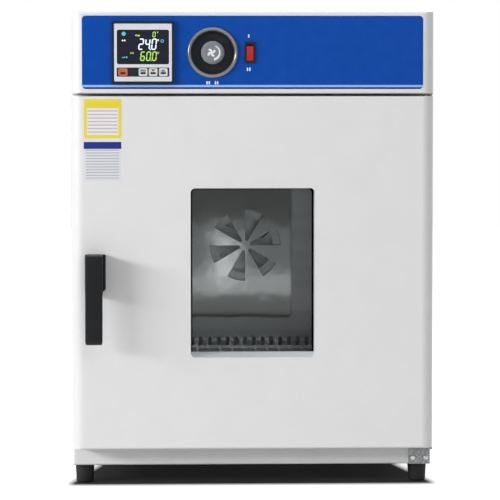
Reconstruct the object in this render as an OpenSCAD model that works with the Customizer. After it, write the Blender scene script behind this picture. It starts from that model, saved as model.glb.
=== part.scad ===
// Forced-air drying oven, bench-top model with a solid door and a small window.
// X runs to the right, the door faces -Y and Z is up. Millimetres.
// The origin is on the floor, under the middle of the whole oven.

/* [Cabinet] */
// Width of the cabinet, header and door
case_w = 560; // [545:5:640]
// Height of the rubber feet
foot_h = 30; // [20:1:45]
// Height from the cabinet's underside to the chamber floor
base_h = 80; // [70:1:110]
// Thickness of the wool above the chamber
roof_wool = 49.3; // [40:0.1:70]
// Height of the header with the controls
header_h = 125.5; // [118:0.5:160]
// Thickness of the painted case sheet
sheet = 1.2; // [0.8:0.1:2]
// Radius of the upright front edges of header and door
edge_r = 18; // [10:1:24]
// Radius of the small bends along folded edges
bend_r = 3; // [2.2:0.1:5]
// Depth of the returns on the front frame and the header
lap_d = 20; // [16:1:30]
// Height of the lid's turned-down edge
lid_h = 15; // [12:1:22]
// Width of the flanges that the rear panel is screwed to
flange_w = 15; // [12:1:22]
// Depth of the service bay behind the rear wool
bay_d = 42; // [36:1:60]
// Thickness of the rear wool
rear_wool = 50; // [40:1:70]

/* [Chamber] */
// Inner width of the chamber
chamber_w = 450; // [420:5:460]
// Inner height of the chamber
chamber_h = 450; // [430:5:520]
// Depth of the chamber in front of the duct plate
chamber_d = 350; // [330:5:420]
// Depth of the air duct behind the duct plate
duct_d = 45; // [42:1:60]
// Thickness of the liner sheet
liner = 1; // [0.8:0.1:1.5]
// Height of the fan's axis above the chamber floor
fan_h = 245; // [225:1:250]
// Outer radius of the sector openings
sector_r = 60; // [50:1:68]
// Inner radius of the sector openings
sector_r0 = 9; // [7:1:14]
// Number of sector openings
sectors = 6; // [4:1:8]
// Width of one air slot
slot_w = 7; // [5:0.5:9]
// Height of one air slot
slot_h = 15; // [10:1:20]
// Distance from one air slot to the next
slot_pitch = 14.8; // [12:0.1:20]
// Distance of the slot rows from the chamber floor and roof
slot_edge = 84; // [70:1:95]

/* [Racks and shelves] */
// Diameter of the rack wire
rack_wire = 5; // [4:0.5:6]
// Number of shelf levels
levels = 6; // [3:1:8]
// Height of the lowest level above the chamber floor
level_low = 52; // [45:1:60]
// Distance between levels
level_step = 61; // [45:1:61]
// Diameter of a shelf's frame rod
shelf_rod = 6; // [5:0.5:8]
// Diameter of a shelf's cross wires
shelf_wire = 3; // [2.5:0.5:4]
// Depth of a shelf
shelf_d = 300; // [280:5:305]
// Distance between a shelf's cross wires
shelf_pitch = 20; // [15:1:30]
// Room between a shelf and its carriers
shelf_play = 0.3; // [0.2:0.1:0.5]
// Side room between a shelf and the rack uprights
shelf_side = 1; // [0.6:0.1:2]
// Distance from the frame's face back to a shelf's front
shelf_set = 28; // [26:1:34]

/* [Door] */
// Thickness of the door
door_t = 50; // [46:1:60]
// Space between the door's back and the front frame
door_space = 6; // [5:0.5:9]
// Height of the strip of frame below the door
strip_h = 31.5; // [28:0.5:45]
// Gap between the door and the header
door_gap = 4; // [3.5:0.5:6]
// Width of the window opening
window_w = 192; // [160:1:220]
// Height of the window opening
window_h = 262; // [220:1:290]
// Corner radius of the window opening
window_r = 7; // [4:0.5:12]
// Depth from the door's front to the outer pane
recess_d = 36; // [28:1:38]
// Rise of the sloping sill
sill_rise = 6; // [3:0.5:9]
// Thickness of a window pane
pane_t = 4; // [3:0.5:5]
// Bearing edge of a pane in its frame
pane_edge = 3.2; // [2.5:0.1:5]
// Wall of the window frame
surround_t = 3; // [2:0.5:4]
// Width of the door gasket
gasket_w = 14; // [10:1:18]
// Distance from the chamber opening to the gasket
gasket_set = 5; // [3:1:8]
// Room between the gasket and the front frame
gasket_play = 0.3; // [0.2:0.1:0.6]

/* [Hinges and catch] */
// Distance of the hinge axis from the door's right edge
hinge_in = 8; // [7.5:0.5:12]
// Diameter of a hinge pin
pin_d = 8; // [6:0.5:9]
// Radial clearance of a pin in its bush
pin_play = 0.08; // [0.03:0.01:0.1]
// Wall of a hinge bush
bush_t = 2; // [1.5:0.1:2.2]
// Length of a hinge bush
bush_l = 18; // [12:1:24]
// Thickness of a hinge plate
plate_t = 2; // [1.5:0.1:2.4]
// Width of the lower hinge plate
plate_w = 33.6; // [30:0.2:40]
// Length of the top hinge plate
top_plate_w = 26; // [24:1:34]
// Gap between the lower hinge plate and the door
hinge_gap = 1.5; // [1.2:0.1:2]
// Room under a bush's flange
hinge_play = 0.3; // [0.2:0.1:0.5]
// Height of the magnetic catch
catch_h = 60; // [40:1:80]
// Width of the magnetic catch
catch_w = 14; // [10:1:18]

/* [Handle] */
// Distance from the door's left edge to the middle of the handle
handle_in = 37; // [34:1:50]
// Width of the handle's lever
lever_w = 26.4; // [22:0.2:32]
// Length of the handle
handle_l = 136; // [120:1:160]
// Height of the handle's base
base_l = 59.5; // [45:0.5:70]
// Width of the handle's base
handle_base_w = 32; // [30:0.5:40]
// Distance that the handle stands out from the door
handle_out = 58; // [50:1:70]
// Distance that the handle's top stands out from the door
handle_top_out = 50; // [30:1:56]
// Thickness of the lever
lever_t = 13; // [10:1:16]
// Height of the handle's lower end above the door's underside
handle_z0 = 166.5; // [150:0.5:220]

/* [Controller] */
// Width and height of the controller's bezel, a standard panel size
bezel = 96; // [72:24:96]
// Wall of the bezel round the faceplate
bezel_t = 3.7; // [2:0.1:5]
// Distance that the bezel stands out of the header
bezel_out = 7; // [5:0.5:9]
// Depth of the controller's case behind the header
case_deep = 74; // [50:1:90]
// Side of the controller's case behind the bezel
case_side = 91; // [60:1:91.5]
// Distance of the controller from the middle of the header
ctrl_x = -169; // [-200:1:-150]
// Distance of the controls' middle line below the top
ctrl_down = 62.6; // [58:0.1:70]
// Width of the display window
display_w = 80; // [50:1:84]
// Height of the display window
display_h = 53; // [30:1:55]
// Height of the display's middle above the controller's middle
display_up = 8.5; // [6:0.5:9]
// Width of the key strip
strip_w = 80.6; // [60:0.2:84]
// Height of the key strip
keys_h = 14; // [10:0.5:16]
// Distance of the keys' middle line below the controller's middle
keys_down = 30; // [28:0.5:34]
// Width of one key
key_w = 13.4; // [10:0.2:14.4]
// Width of the power key
power_w = 14.4; // [11:0.2:14.6]
// Height of one key
key_h = 12.2; // [8:0.2:12.4]
// Side clearance of a key
key_play = 0.2; // [0.1:0.05:0.3]
// Travel of a key
key_travel = 0.8; // [0.5:0.1:1.2]
// Distance that a key stands out of the faceplate
key_out = 1; // [0.9:0.1:1.6]

/* [Vent] */
// Distance of the vent dial from the middle of the header
vent_x = -61.8; // [-75:0.2:-55]
// Outer radius of the dial ring
ring_r = 38.6; // [34:0.1:42]
// Inner radius of the dial ring
ring_r0 = 32.3; // [28:0.1:33]
// Distance that the ring stands out
ring_out = 5; // [3:0.5:8]
// Depth of the dial's dish
dish_d = 9; // [6:0.5:12]
// Radius of the vent knob
knob_r = 18; // [14:0.5:22]
// Length of the vent knob
knob_l = 15; // [10:0.5:20]
// Number of flat sides of the knob
knob_sides = 12; // [8:1:16]
// Diameter of the vent spindle
spindle_d = 6; // [5:0.5:8]
// Radial clearance of the spindle
spindle_play = 0.06; // [0.03:0.01:0.1]
// Inner radius of the vent pipe
pipe_r = 18.5; // [14:0.5:22]
// Wall of the vent pipe
pipe_t = 1.5; // [1:0.1:2.5]
// Distance from the frame's face back to the vent pipe
pipe_back = 100; // [70:1:140]
// Clearance round the vent flap
flap_play = 0.4; // [0.3:0.1:0.8]

/* [Switch] */
// Distance of the switch from the middle of the header
switch_x = -4.4; // [-10:0.2:10]
// Width of the switch frame
switch_w = 16.6; // [14:0.2:20]
// Height of the switch frame
switch_h = 32.7; // [26:0.1:36]
// Width of the rocker
rocker_w = 10.2; // [8:0.1:11]
// Height of the rocker
rocker_h = 23; // [18:0.5:24]
// Tilt of the rocker either side of its middle
rocker_tilt = 10; // [7:0.5:12]
// Clearance round the rocker
rocker_play = 0.3; // [0.2:0.05:0.5]

/* [Fan] */
// Radius of the fan wheel
wheel_r = 75; // [70:1:90]
// Width of the fan wheel
wheel_w = 28; // [22:1:32]
// Number of fan blades
blades = 10; // [8:1:14]
// Diameter of the fan shaft
shaft_d = 8; // [6:0.5:10]
// Radial clearance of the shaft in the motor
shaft_play = 0.05; // [0.02:0.01:0.1]
// Radius of the motor
motor_r = 42; // [36:1:46]
// Length of the motor
motor_l = 54; // [44:1:60]
// Depth of the cover behind the rear panel
cover_d = 40; // [34:1:60]
// Width and height of the cover behind the rear panel
cover_w = 190; // [170:2:220]

/* [Heaters] */
// Radius of a heater tube
heater_r = 5; // [4:0.5:6]
// Radius of a heater's fins
fin_r = 12; // [9:0.5:14]
// Distance between fins
fin_pitch = 10; // [6:1:14]
// Length of a heater's finned leg
heater_l = 280; // [200:5:300]
// Distance of the heaters from the middle of the duct
heater_x = 150; // [135:1:170]

/* [Hidden] */
$fn = 64;

paint = [0.86, 0.87, 0.88];
steel = [0.66, 0.67, 0.69];
zinc = [0.5, 0.51, 0.52];
wool_tone = [0.86, 0.8, 0.62];
black = [0.08, 0.08, 0.09];
eps = 0.01;

// Levels, from the floor up
base_z = foot_h;
chamber_z = base_z + base_h;
roof_z = chamber_z + chamber_h;
header_z = roof_z + liner + roof_wool + sheet;
top_z = header_z + header_h;
door_z = base_z + strip_h;
door_top = header_z - door_gap;
door_h = door_top - door_z;
ctrl_z = top_z - ctrl_down;
fan_z = chamber_z + fan_h;

// Depths, from the handle back to the motor cover
case_d = chamber_d + liner + duct_d + liner + rear_wool + bay_d + sheet;
total_d = handle_out + door_t + door_space + case_d + cover_d;
door_y = -total_d / 2 + handle_out;
door_back = door_y + door_t;
case_y = door_back + door_space;
duct_y = case_y + chamber_d;
wall_y = duct_y + liner + duct_d;
wool_y = wall_y + liner;
bay_y = wool_y + rear_wool;
back_y = bay_y + bay_d + sheet;
panel_y = case_y + lap_d;

half_w = case_w / 2;
in_w = half_w - sheet;
hinge_x = half_w - hinge_in;
hinge_y = door_y + door_t / 2;
handle_x = -half_w + handle_in;
window_z = (door_z + door_top) / 2;

// A block between two corners
module block(low, high) {
    translate(low) cube(high - low);
}

// A centred rectangle with round corners
module rounded(w, h, r) {
    square([w - 2 * r, h], center = true);
    square([w, h - 2 * r], center = true);
    for (x = [-1, 1], y = [-1, 1])
        translate([x * (w / 2 - r), y * (h / 2 - r)]) circle(r);
}

// A rectangle whose two front corners are round; its front edge is at y = 0
module fronted(w, d, r) {
    translate([-w / 2, r]) square([w, d - r]);
    translate([-w / 2 + r, 0]) square([w - 2 * r, r + eps]);
    for (x = [-1, 1])
        translate([x * (w / 2 - r), r]) circle(r);
}

// A flat shape drawn in X and Z, as thick as t behind y
module upright(y, t) {
    translate([0, y + t, 0]) rotate([90, 0, 0]) linear_extrude(t) children();
}

// Children stand with their Z axis pointing backwards
module facing(x, y, z) {
    translate([x, y, z]) rotate([-90, 0, 0]) children();
}

// Round bars along each axis
module rod_x(x0, x1, y, z, r) {
    translate([x0, y, z]) rotate([0, 90, 0]) cylinder(h = x1 - x0, r = r);
}

module rod_y(x, y0, y1, z, r) {
    facing(x, y0, z) cylinder(h = y1 - y0, r = r);
}

module rod_z(x, y, z0, z1, r) {
    translate([x, y, z0]) cylinder(h = z1 - z0, r = r);
}

// A box with round upright front edges and a small bend along its other front edges
module folded_front(w, d, h, r, bend) {
    intersection() {
        linear_extrude(h) fronted(w, d, r);
        translate([-w / 2, 0, h / 2]) rotate([0, 90, 0]) linear_extrude(w) fronted(h, d, bend);
    }
}

// The same box folded from sheet and open at its back
module folded_shell(w, d, h, r, bend, t) {
    difference() {
        folded_front(w, d, h, r, bend);
        translate([0, t, t]) folded_front(w - 2 * t, d, h - 2 * t, r - t, bend - t);
    }
}

// Screws: how large they are, their holes and where they sit
screw_r = 2;
small_screw_r = 1.3;
screw_l = 10;
screw_play = 0.15;
screw_hole = screw_r + screw_play;
rear_rows = 4;
rear_screw_z = [for (i = [0:rear_rows - 1])
    base_z + 60 + i * (top_z - lid_h - base_z - 120) / (rear_rows - 1)];
rear_screw_x = in_w - flange_w / 2;
cover_flange = 12;
cover_screw = cover_w / 2 + cover_flange / 2;

// A pan-head screw whose head stands on the plane z = 0 and points to -Z
module pan_screw(l, r = screw_r) {
    head_r = 1.9 * r;
    head_h = 1.1 * r;
    round_r = 0.6 * r;
    rotate_extrude() {
        square([r, l]);
        translate([0, -head_h]) square([head_r - round_r, head_h]);
        translate([0, -head_h + round_r]) square([head_r, head_h - round_r]);
        intersection() {
            translate([head_r - round_r, -head_h + round_r]) circle(round_r);
            translate([0, -head_h]) square([head_r, head_h]);
        }
    }
}

module rear_screw_places() {
    for (side = [-1, 1], z = rear_screw_z)
        translate([side * rear_screw_x, back_y, z]) children();
}

module cover_screw_places() {
    for (x = [-1, 1], z = [-1, 1])
        translate([x * cover_screw, back_y, fan_z + z * cover_w / 3]) children();
}

// Case

// Folded side sheet with a flange at its back for the rear panel
module side_panel() {
    difference() {
        union() {
            block([in_w, panel_y, base_z], [half_w, back_y, top_z - lid_h]);
            block([in_w - flange_w, back_y - 2 * sheet, base_z + sheet],
                [in_w + eps, back_y - sheet, top_z - lid_h]);
        }
        rear_screw_places() rotate([90, 0, 0]) cylinder(h = 3 * sheet, r = screw_hole);
    }
}

module side_panel_left() {
    color(paint) mirror([1, 0, 0]) side_panel();
}

module side_panel_right() {
    color(paint) side_panel();
}

// Lid folded down along both sides and the back, with the flush air outlet
module top_panel() {
    color(paint) difference() {
        facing(0, panel_y, top_z) linear_extrude(back_y - panel_y) fronted(case_w, lid_h, bend_r);
        facing(0, panel_y - eps, top_z - sheet) linear_extrude(back_y - panel_y - sheet)
            fronted(2 * in_w, lid_h, bend_r - sheet);
        rod_z(vent_x, case_y + pipe_back, top_z - 2 * sheet, top_z + eps, pipe_r);
    }
}

// Rear sheet with cooling slots for the header bay and the opening for the motor
louvre_w = 70;
louvre_h = 5;
louvre_rows = 6;
louvre_pitch = 12;
gland_x = -200;
gland_z = base_z + 60;
gland_r = 9;

module louvre_field(x, z) {
    for (i = [0:louvre_rows - 1])
        translate([x, z - i * louvre_pitch]) rounded(louvre_w, louvre_h, louvre_h / 2 - eps);
}

module rear_panel() {
    color(paint) difference() {
        upright(back_y - sheet, sheet) difference() {
            translate([0, (base_z + sheet + top_z - lid_h) / 2])
                square([2 * in_w, top_z - lid_h - base_z - sheet], center = true);
            for (x = [-1, 0, 1]) louvre_field(x * 150, top_z - lid_h - 30);
            translate([0, fan_z]) circle(motor_r + 18);
            translate([gland_x, gland_z]) circle(gland_r);
        }
        rear_screw_places() rotate([90, 0, 0]) translate([0, 0, -eps])
            cylinder(h = 2 * sheet, r = screw_hole);
        cover_screw_places() rotate([90, 0, 0]) translate([0, 0, -eps])
            cylinder(h = 2 * sheet, r = screw_hole);
    }
}

// Bottom tray with upturned edges
module base_pan() {
    color(paint) {
        block([-in_w, panel_y, base_z], [in_w, back_y - sheet, base_z + sheet]);
        for (side = [0, 1]) mirror([side, 0, 0])
            block([in_w - sheet, panel_y, base_z], [in_w, back_y - 2 * sheet - eps, base_z + flange_w]);
    }
}

// Front frame round the chamber opening, folded back along its edges
opening_r = 3;
frame_r = 4;

module front_frame() {
    color(paint) difference() {
        translate([0, case_y, base_z])
            folded_shell(case_w, lap_d, header_z - base_z, frame_r, bend_r, sheet);
        upright(case_y - eps, 2 * sheet) translate([0, chamber_z + chamber_h / 2])
            rounded(chamber_w, chamber_h, opening_r);
        hinge_screw_low() cylinder(h = 3 * sheet, r = screw_hole);
        catch_slot();
    }
}

module bay_floor() {
    color(steel) difference() {
        block([-in_w, panel_y, header_z - sheet], [in_w, bay_y, header_z]);
        rod_z(vent_x, case_y + pipe_back, header_z - 2 * sheet, header_z + sheet,
            pipe_r + pipe_t);
    }
}

// Header: the folded fascia that carries the controls
module header_cover() {
    color(paint) difference() {
        translate([0, door_y, header_z])
            folded_shell(case_w, door_t + door_space + lap_d, header_h, edge_r, bend_r, sheet);
        upright(door_y - eps, 2 * sheet) control_cutouts();
        hinge_screw_top() cylinder(h = 3 * plate_t, r = small_screw_r + screw_play);
    }
}

module control_cutouts() {
    translate([ctrl_x, ctrl_z]) square(case_side + 0.4, center = true);
    translate([vent_x, ctrl_z]) circle(dish_r);
    translate([switch_x, ctrl_z]) square([switch_w - 3, switch_h - 3], center = true);
}

// Printed film on the header
overlay_t = 0.4;
overlay_w = 525.5;
overlay_h = 112.5;
overlay_r = 6;
overlay_up = 0.6;

module control_overlay() {
    color([0.1, 0.28, 0.64]) upright(door_y - overlay_t, overlay_t) difference() {
        translate([0, header_z + header_h / 2 + overlay_up])
            rounded(overlay_w, overlay_h, overlay_r);
        control_cutouts();
    }
}

// Insulation

// Five boards of mineral wool round the chamber
pillar_r = 4;
pillar_x = 52;
pillar_z = 40;
heater_pin_r = 4;
board_gap = 0.3;

module wool_boards() {
    wool_w = in_w - sheet;
    liner_w = chamber_w / 2 + liner;
    inner_w = liner_w - board_gap;
    low = base_z + sheet;
    high = header_z - sheet;
    color(wool_tone) {
        for (side = [0, 1]) mirror([side, 0, 0]) difference() {
            block([liner_w, panel_y, low], [wool_w, wool_y, high]);
            if (side == 0) rod_x(liner_w - eps, wool_w + eps, probe_y, probe_z, probe_nut_r);
        }
        difference() {
            block([-inner_w, panel_y, roof_z + liner], [inner_w, wool_y, high]);
            rod_z(vent_x, case_y + pipe_back, roof_z, high + eps, pipe_r + pipe_t);
            rod_z(vent_x, case_y + pipe_back, roof_z, roof_z + liner + pipe_flange_t,
                pipe_r + pipe_flange_w);
        }
        block([-inner_w, panel_y, low], [inner_w, wool_y, chamber_z - liner]);
        difference() {
            block([-wool_w, wool_y + board_gap, low], [wool_w, bay_y, high]);
            rod_y(0, wool_y - eps, bay_y + eps, fan_z, shaft_d / 2 + 6);
            pillar_places() translate([0, wool_y - eps, 0]) facing(0, 0, 0)
                cylinder(h = rear_wool + 2 * eps, r = pillar_r);
            heater_pin_places() translate([0, wool_y - eps, 0]) facing(0, 0, 0)
                cylinder(h = rear_wool + 2 * eps, r = heater_pin_r);
        }
    }
}

// Chamber

module chamber_wall(side) {
    difference() {
        block([chamber_w / 2, case_y + sheet, chamber_z], [chamber_w / 2 + liner, wall_y, roof_z]);
        if (side > 0) rod_x(chamber_w / 2 - eps, chamber_w / 2 + liner + eps, probe_y, probe_z,
            probe_r + 0.2);
    }
}

module chamber_wall_left() {
    color(steel) mirror([1, 0, 0]) chamber_wall(-1);
}

module chamber_wall_right() {
    color(steel) chamber_wall(1);
}

module chamber_roof() {
    color(steel) difference() {
        block([-chamber_w / 2 - liner, case_y + sheet, roof_z],
            [chamber_w / 2 + liner, wall_y, roof_z + liner]);
        rod_z(vent_x, case_y + pipe_back, roof_z - eps, roof_z + liner + eps, pipe_r);
    }
}

// Floor with two pressed beads that stiffen it
bead_r = 3;

module chamber_floor() {
    color(steel) difference() {
        union() {
            block([-chamber_w / 2 - liner, case_y + sheet, chamber_z - liner],
                [chamber_w / 2 + liner, wall_y, chamber_z]);
            for (x = [-1, 1]) rod_y(x * chamber_w / 4, case_y + 40, duct_y - 40,
                chamber_z - liner / 2, bead_r);
        }
        block([-chamber_w / 2, case_y, chamber_z - liner - 2 * bead_r],
            [chamber_w / 2, wall_y, chamber_z - liner]);
    }
}

module chamber_rear_wall() {
    color(steel) upright(wall_y, liner) difference() {
        translate([0, chamber_z + chamber_h / 2])
            square([chamber_w + 2 * liner, chamber_h + 2 * liner], center = true);
        translate([0, fan_z]) circle(shaft_d / 2 + 3);
        for (x = [-1, 1], dx = [-1, 1]) translate([x * heater_x + dx * heater_half, heater_z])
            circle(heater_pin_r);
    }
}

// Duct plate with the fan's sector openings and two rows of air slots
module sector_opening(start, sweep, r0, r1) {
    reach = 2 * r1;
    intersection() {
        difference() {
            circle(r1);
            circle(r0);
        }
        polygon([[0, 0], reach * [cos(start), sin(start)],
            reach * [cos(start + sweep / 2), sin(start + sweep / 2)],
            reach * [cos(start + sweep), sin(start + sweep)]]);
    }
}

slots = floor((chamber_w - 2 * slot_pitch) / slot_pitch / 2);

module slot_row(z) {
    for (i = [-slots:slots]) translate([i * slot_pitch, z])
        rounded(slot_w, slot_h, slot_w / 2 - eps);
}

module air_duct_plate() {
    color(steel) {
        upright(duct_y, liner) difference() {
            translate([0, chamber_z + chamber_h / 2]) square([chamber_w, chamber_h], center = true);
            translate([0, fan_z]) for (i = [0:sectors - 1])
                sector_opening(i * 360 / sectors, 180 / sectors, sector_r0, sector_r);
            slot_row(chamber_z + slot_edge);
            slot_row(roof_z - slot_edge);
        }
        for (side = [0, 1]) mirror([side, 0, 0])
            block([chamber_w / 2 - liner, duct_y + liner - eps, chamber_z],
                [chamber_w / 2, wall_y, roof_z]);
    }
}

// Finned tube heaters, one each side of the fan, bent to a U with their ends through the rear wall
heater_half = 18;
heater_z = fan_z - heater_l / 2 - 8;
heater_y = duct_y + liner + duct_d / 2;
fins = floor(heater_l / fin_pitch);
fin_t = 0.8;

module heater_pin_places() {
    for (x = [-1, 1], dx = [-1, 1])
        translate([x * heater_x + dx * heater_half, 0, heater_z]) children();
}

module finned_leg(x) {
    translate([x, heater_y, heater_z]) rotate_extrude() {
        square([heater_r, heater_l]);
        for (i = [1:fins - 1]) translate([0, i * fin_pitch]) square([fin_r, fin_t]);
    }
}

module heater_elements() {
    color([0.45, 0.42, 0.4]) for (side = [-1, 1]) {
        x = side * heater_x;
        for (dx = [-heater_half, heater_half]) {
            finned_leg(x + dx);
            translate([x + dx, heater_y, heater_z]) sphere(heater_r);
            rod_y(x + dx, heater_y, bay_y + 12, heater_z, heater_pin_r - 0.3);
        }
        translate([x, heater_y, heater_z + heater_l]) rotate([90, 0, 0])
            rotate_extrude(angle = 180) translate([heater_half, 0]) circle(heater_r);
    }
}

// Fan

wheel_y = duct_y + liner + (duct_d - wheel_w) / 2;
hub_r = shaft_d / 2 + 6;
blade_t = 1.2;
blade_r = 34;
blade_set = 8;
shroud_r = 0.62 * wheel_r;
eye_r = 0.42 * wheel_r;

// Backward-curved blade between the wheel's eye and its rim
module blade() {
    intersection() {
        translate([blade_r + blade_set, 0]) difference() {
            circle(blade_r);
            circle(blade_r - blade_t);
        }
        difference() {
            circle(wheel_r - 2);
            circle(eye_r);
        }
        square([wheel_r, wheel_r]);
    }
}

module fan_impeller() {
    color([0.6, 0.62, 0.64]) facing(0, wheel_y, fan_z) difference() {
        union() {
            linear_extrude(blade_t) difference() {
                circle(wheel_r);
                circle(shroud_r);
            }
            translate([0, 0, blade_t - eps]) linear_extrude(wheel_w - 2 * blade_t + 2 * eps)
                for (i = [0:blades - 1]) rotate(i * 360 / blades) blade();
            translate([0, 0, wheel_w - blade_t]) cylinder(h = blade_t, r = wheel_r);
            translate([0, 0, 6]) cylinder(h = wheel_w - 6, r = hub_r);
        }
        translate([0, 0, -eps]) cylinder(h = wheel_w + 2 * eps, r = shaft_d / 2);
    }
}

bracket_t = 2;
motor_y = bay_y + bracket_t;
bell_l = 8;

module fan_shaft() {
    color([0.7, 0.7, 0.72]) rod_y(0, wheel_y + 3, motor_y + motor_l - 6, fan_z, shaft_d / 2);
}

// Motor with stepped end bells and cooling fins round the stator
module fan_motor() {
    fin_count = 24;
    color([0.3, 0.3, 0.32]) facing(0, motor_y, fan_z) difference() {
        union() {
            cylinder(h = bell_l, r = motor_r - 8);
            translate([0, 0, bell_l]) linear_extrude(motor_l - 2 * bell_l) difference() {
                circle(motor_r);
                for (i = [0:fin_count - 1]) rotate(i * 360 / fin_count)
                    translate([motor_r, 0]) square([5, 3], center = true);
            }
            translate([0, 0, motor_l - bell_l]) cylinder(h = bell_l, r = motor_r - 8);
        }
        translate([0, 0, -eps]) cylinder(h = motor_l - 5, r = shaft_d / 2 + shaft_play);
    }
}

module pillar_places() {
    for (x = [-1, 1], z = [-1, 1]) translate([x * pillar_x, 0, fan_z + z * pillar_z]) children();
}

// Bracket plate on four pillars that stand on the chamber's rear wall
module motor_bracket() {
    color(zinc) {
        upright(bay_y, bracket_t) difference() {
            translate([0, fan_z]) rounded(2 * pillar_x + 24, 2 * pillar_z + 24, 8);
            translate([0, fan_z]) circle(shaft_d / 2 + 3);
        }
        pillar_places() translate([0, wool_y, 0]) facing(0, 0, 0)
            cylinder(h = rear_wool + eps, r = pillar_r);
    }
}

// Pressed cover over the motor with a flange and side slots
module rear_motor_cover() {
    cover_r = 12;
    vents = 7;
    color(paint) difference() {
        union() {
            facing(0, back_y, fan_z) linear_extrude(sheet)
                rounded(cover_w + 2 * cover_flange, cover_w, 6);
            facing(0, back_y, fan_z) linear_extrude(cover_d) rounded(cover_w, cover_w, cover_r);
        }
        facing(0, back_y - eps, fan_z) linear_extrude(cover_d - sheet)
            rounded(cover_w - 2 * sheet, cover_w - 2 * sheet, cover_r - sheet);
        for (i = [0:vents - 1]) translate([0, back_y + cover_d / 2,
            fan_z - cover_w / 3 + i * cover_w / 1.5 / (vents - 1)])
            cube([2 * cover_w, cover_d / 2, 5], center = true);
        cover_screw_places() rotate([-90, 0, 0]) translate([0, 0, -eps])
            cylinder(h = 2 * sheet, r = screw_hole);
    }
}

// Racks and shelves

rack_y0 = case_y + 22;
rack_y1 = duct_y - 12;
rack_x = chamber_w / 2 - rack_wire / 2;
rung_x = rack_x - rack_wire;
rack_z0 = chamber_z + 18;
rack_z1 = chamber_z + level_low + (levels - 1) * level_step + 30;

function level_z(i) = chamber_z + level_low + i * level_step;

// Wire ladder: three uprights against the wall and a runner for each level
module ladder_posts() {
    for (y = [rack_y0 + 20, (rack_y0 + rack_y1) / 2, rack_y1 - 20])
        rod_z(rack_x, y, rack_z0, rack_z1, rack_wire / 2);
}

module ladder_rungs() {
    for (i = [0:levels - 1]) rod_y(rung_x, rack_y0, rack_y1, level_z(i), rack_wire / 2);
    for (z = [rack_z0 + 6, rack_z1 - 6])
        rod_y(rung_x, rack_y0 + 10, rack_y1 - 10, z, rack_wire / 2);
}

// The left rack mirrors the right one
module rack_posts() {
    color(steel) for (side = [0, 1]) mirror([side, 0, 0]) ladder_posts();
}

module rack_rungs() {
    color(steel) for (side = [0, 1]) mirror([side, 0, 0]) ladder_rungs();
}

// Wire shelf: a rod frame with cross wires welded on top and two raised end stops
module shelf(level) {
    r = shelf_rod / 2;
    x1 = chamber_w / 2 - rack_wire - shelf_side - r;
    y0 = case_y + shelf_set + r;
    y1 = y0 + shelf_d - shelf_rod;
    reach = rack_wire / 2 + r + shelf_play;
    z = level_z(level) + sqrt(reach * reach - (rung_x - x1) * (rung_x - x1));
    wires = floor(x1 / shelf_pitch);
    wire_z = z + r + shelf_wire / 2 - 0.6;
    for (y = [y0, y1]) rod_x(-x1, x1, y, z, r);
    for (x = [-x1, x1]) {
        rod_y(x, y0, y1, z, r);
        for (y = [y0, y1]) translate([x, y, z]) sphere(r);
    }
    rod_x(-x1, x1, (y0 + y1) / 2, z, r - 0.5);
    for (i = [-wires:wires]) rod_y(i * shelf_pitch, y0 - 1, y1 + 1, wire_z, shelf_wire / 2);
}

module shelf_upper() {
    color(steel) shelf(levels - 1);
}

module shelf_lower() {
    color(steel) shelf(0);
}

// Temperature probe through the right wall, behind the racks
probe_r = 2.5;
probe_nut_r = 7;
probe_y = duct_y - 6;
probe_z = roof_z - 45;
probe_in = 70;
side_wool = in_w - chamber_w / 2 - liner;

module temperature_probe() {
    x1 = chamber_w / 2;
    color([0.75, 0.76, 0.78]) {
        rod_x(x1 - probe_in, x1 + liner + 0.6 * side_wool, probe_y, probe_z, probe_r);
        translate([x1 - probe_in, probe_y, probe_z]) sphere(probe_r);
        translate([x1 + liner, probe_y, probe_z]) rotate([0, 90, 0])
            cylinder(h = 0.15 * side_wool, r = probe_nut_r - 0.5, $fn = 6);
    }
}

// Controller

face_y = door_y - bezel_out;
face_t = 2;
face_side = bezel - 2 * bezel_t;
display_z = ctrl_z + display_up;
keys_z = ctrl_z - keys_down;
key_places = [-30.6, 0.2, 15.6, 31.2];
key_deep = 5;
well_t = 2;
display_set = 0.8;

module key_shape(i, grow) {
    wide = (i == 0 ? power_w : key_w) + grow;
    translate([ctrl_x + key_places[i], keys_z]) rounded(wide, key_h + grow, 0.8);
}

// Black case: bezel rim, window well, key pockets and the deep body behind the header
module controller_housing() {
    color(black) difference() {
        union() {
            upright(face_y, bezel_out - overlay_t) translate([ctrl_x, ctrl_z])
                rounded(bezel, bezel, 2);
            upright(door_y - overlay_t - eps, case_deep) translate([ctrl_x, ctrl_z])
                square(case_side, center = true);
        }
        difference() {
            upright(face_y - eps, face_t + eps) translate([ctrl_x, ctrl_z])
                rounded(face_side, face_side, 1.5);
            upright(face_y + 0.5, face_t) translate([ctrl_x, keys_z]) rounded(strip_w, keys_h, 1.5);
        }
        upright(face_y + face_t - eps, well_t + eps) translate([ctrl_x, display_z])
            rounded(display_w, display_h, 3);
        for (i = [0:3]) upright(face_y - eps, key_deep + key_travel + 0.4)
            key_shape(i, 2 * key_play);
    }
}

module controller_faceplate() {
    color([0.87, 0.88, 0.91]) upright(face_y + 0.3, face_t - 0.3) difference() {
        translate([ctrl_x, ctrl_z]) rounded(face_side, face_side, 1.5);
        translate([ctrl_x, display_z]) rounded(display_w, display_h, 3);
        translate([ctrl_x, keys_z]) rounded(strip_w, keys_h, 1.5);
    }
}

module controller_display() {
    color([0.12, 0.13, 0.17]) upright(face_y + display_set, face_t + well_t - display_set)
        translate([ctrl_x, display_z]) rounded(display_w, display_h, 3);
}

module key(i) {
    upright(face_y + 0.3 - key_out, key_deep - 0.3 + key_out) key_shape(i, 0);
}

module key_power() {
    color([0.82, 0.4, 0.24]) key(0);
}

module key_set() {
    color([0.93, 0.93, 0.93]) key(1);
}

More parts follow.
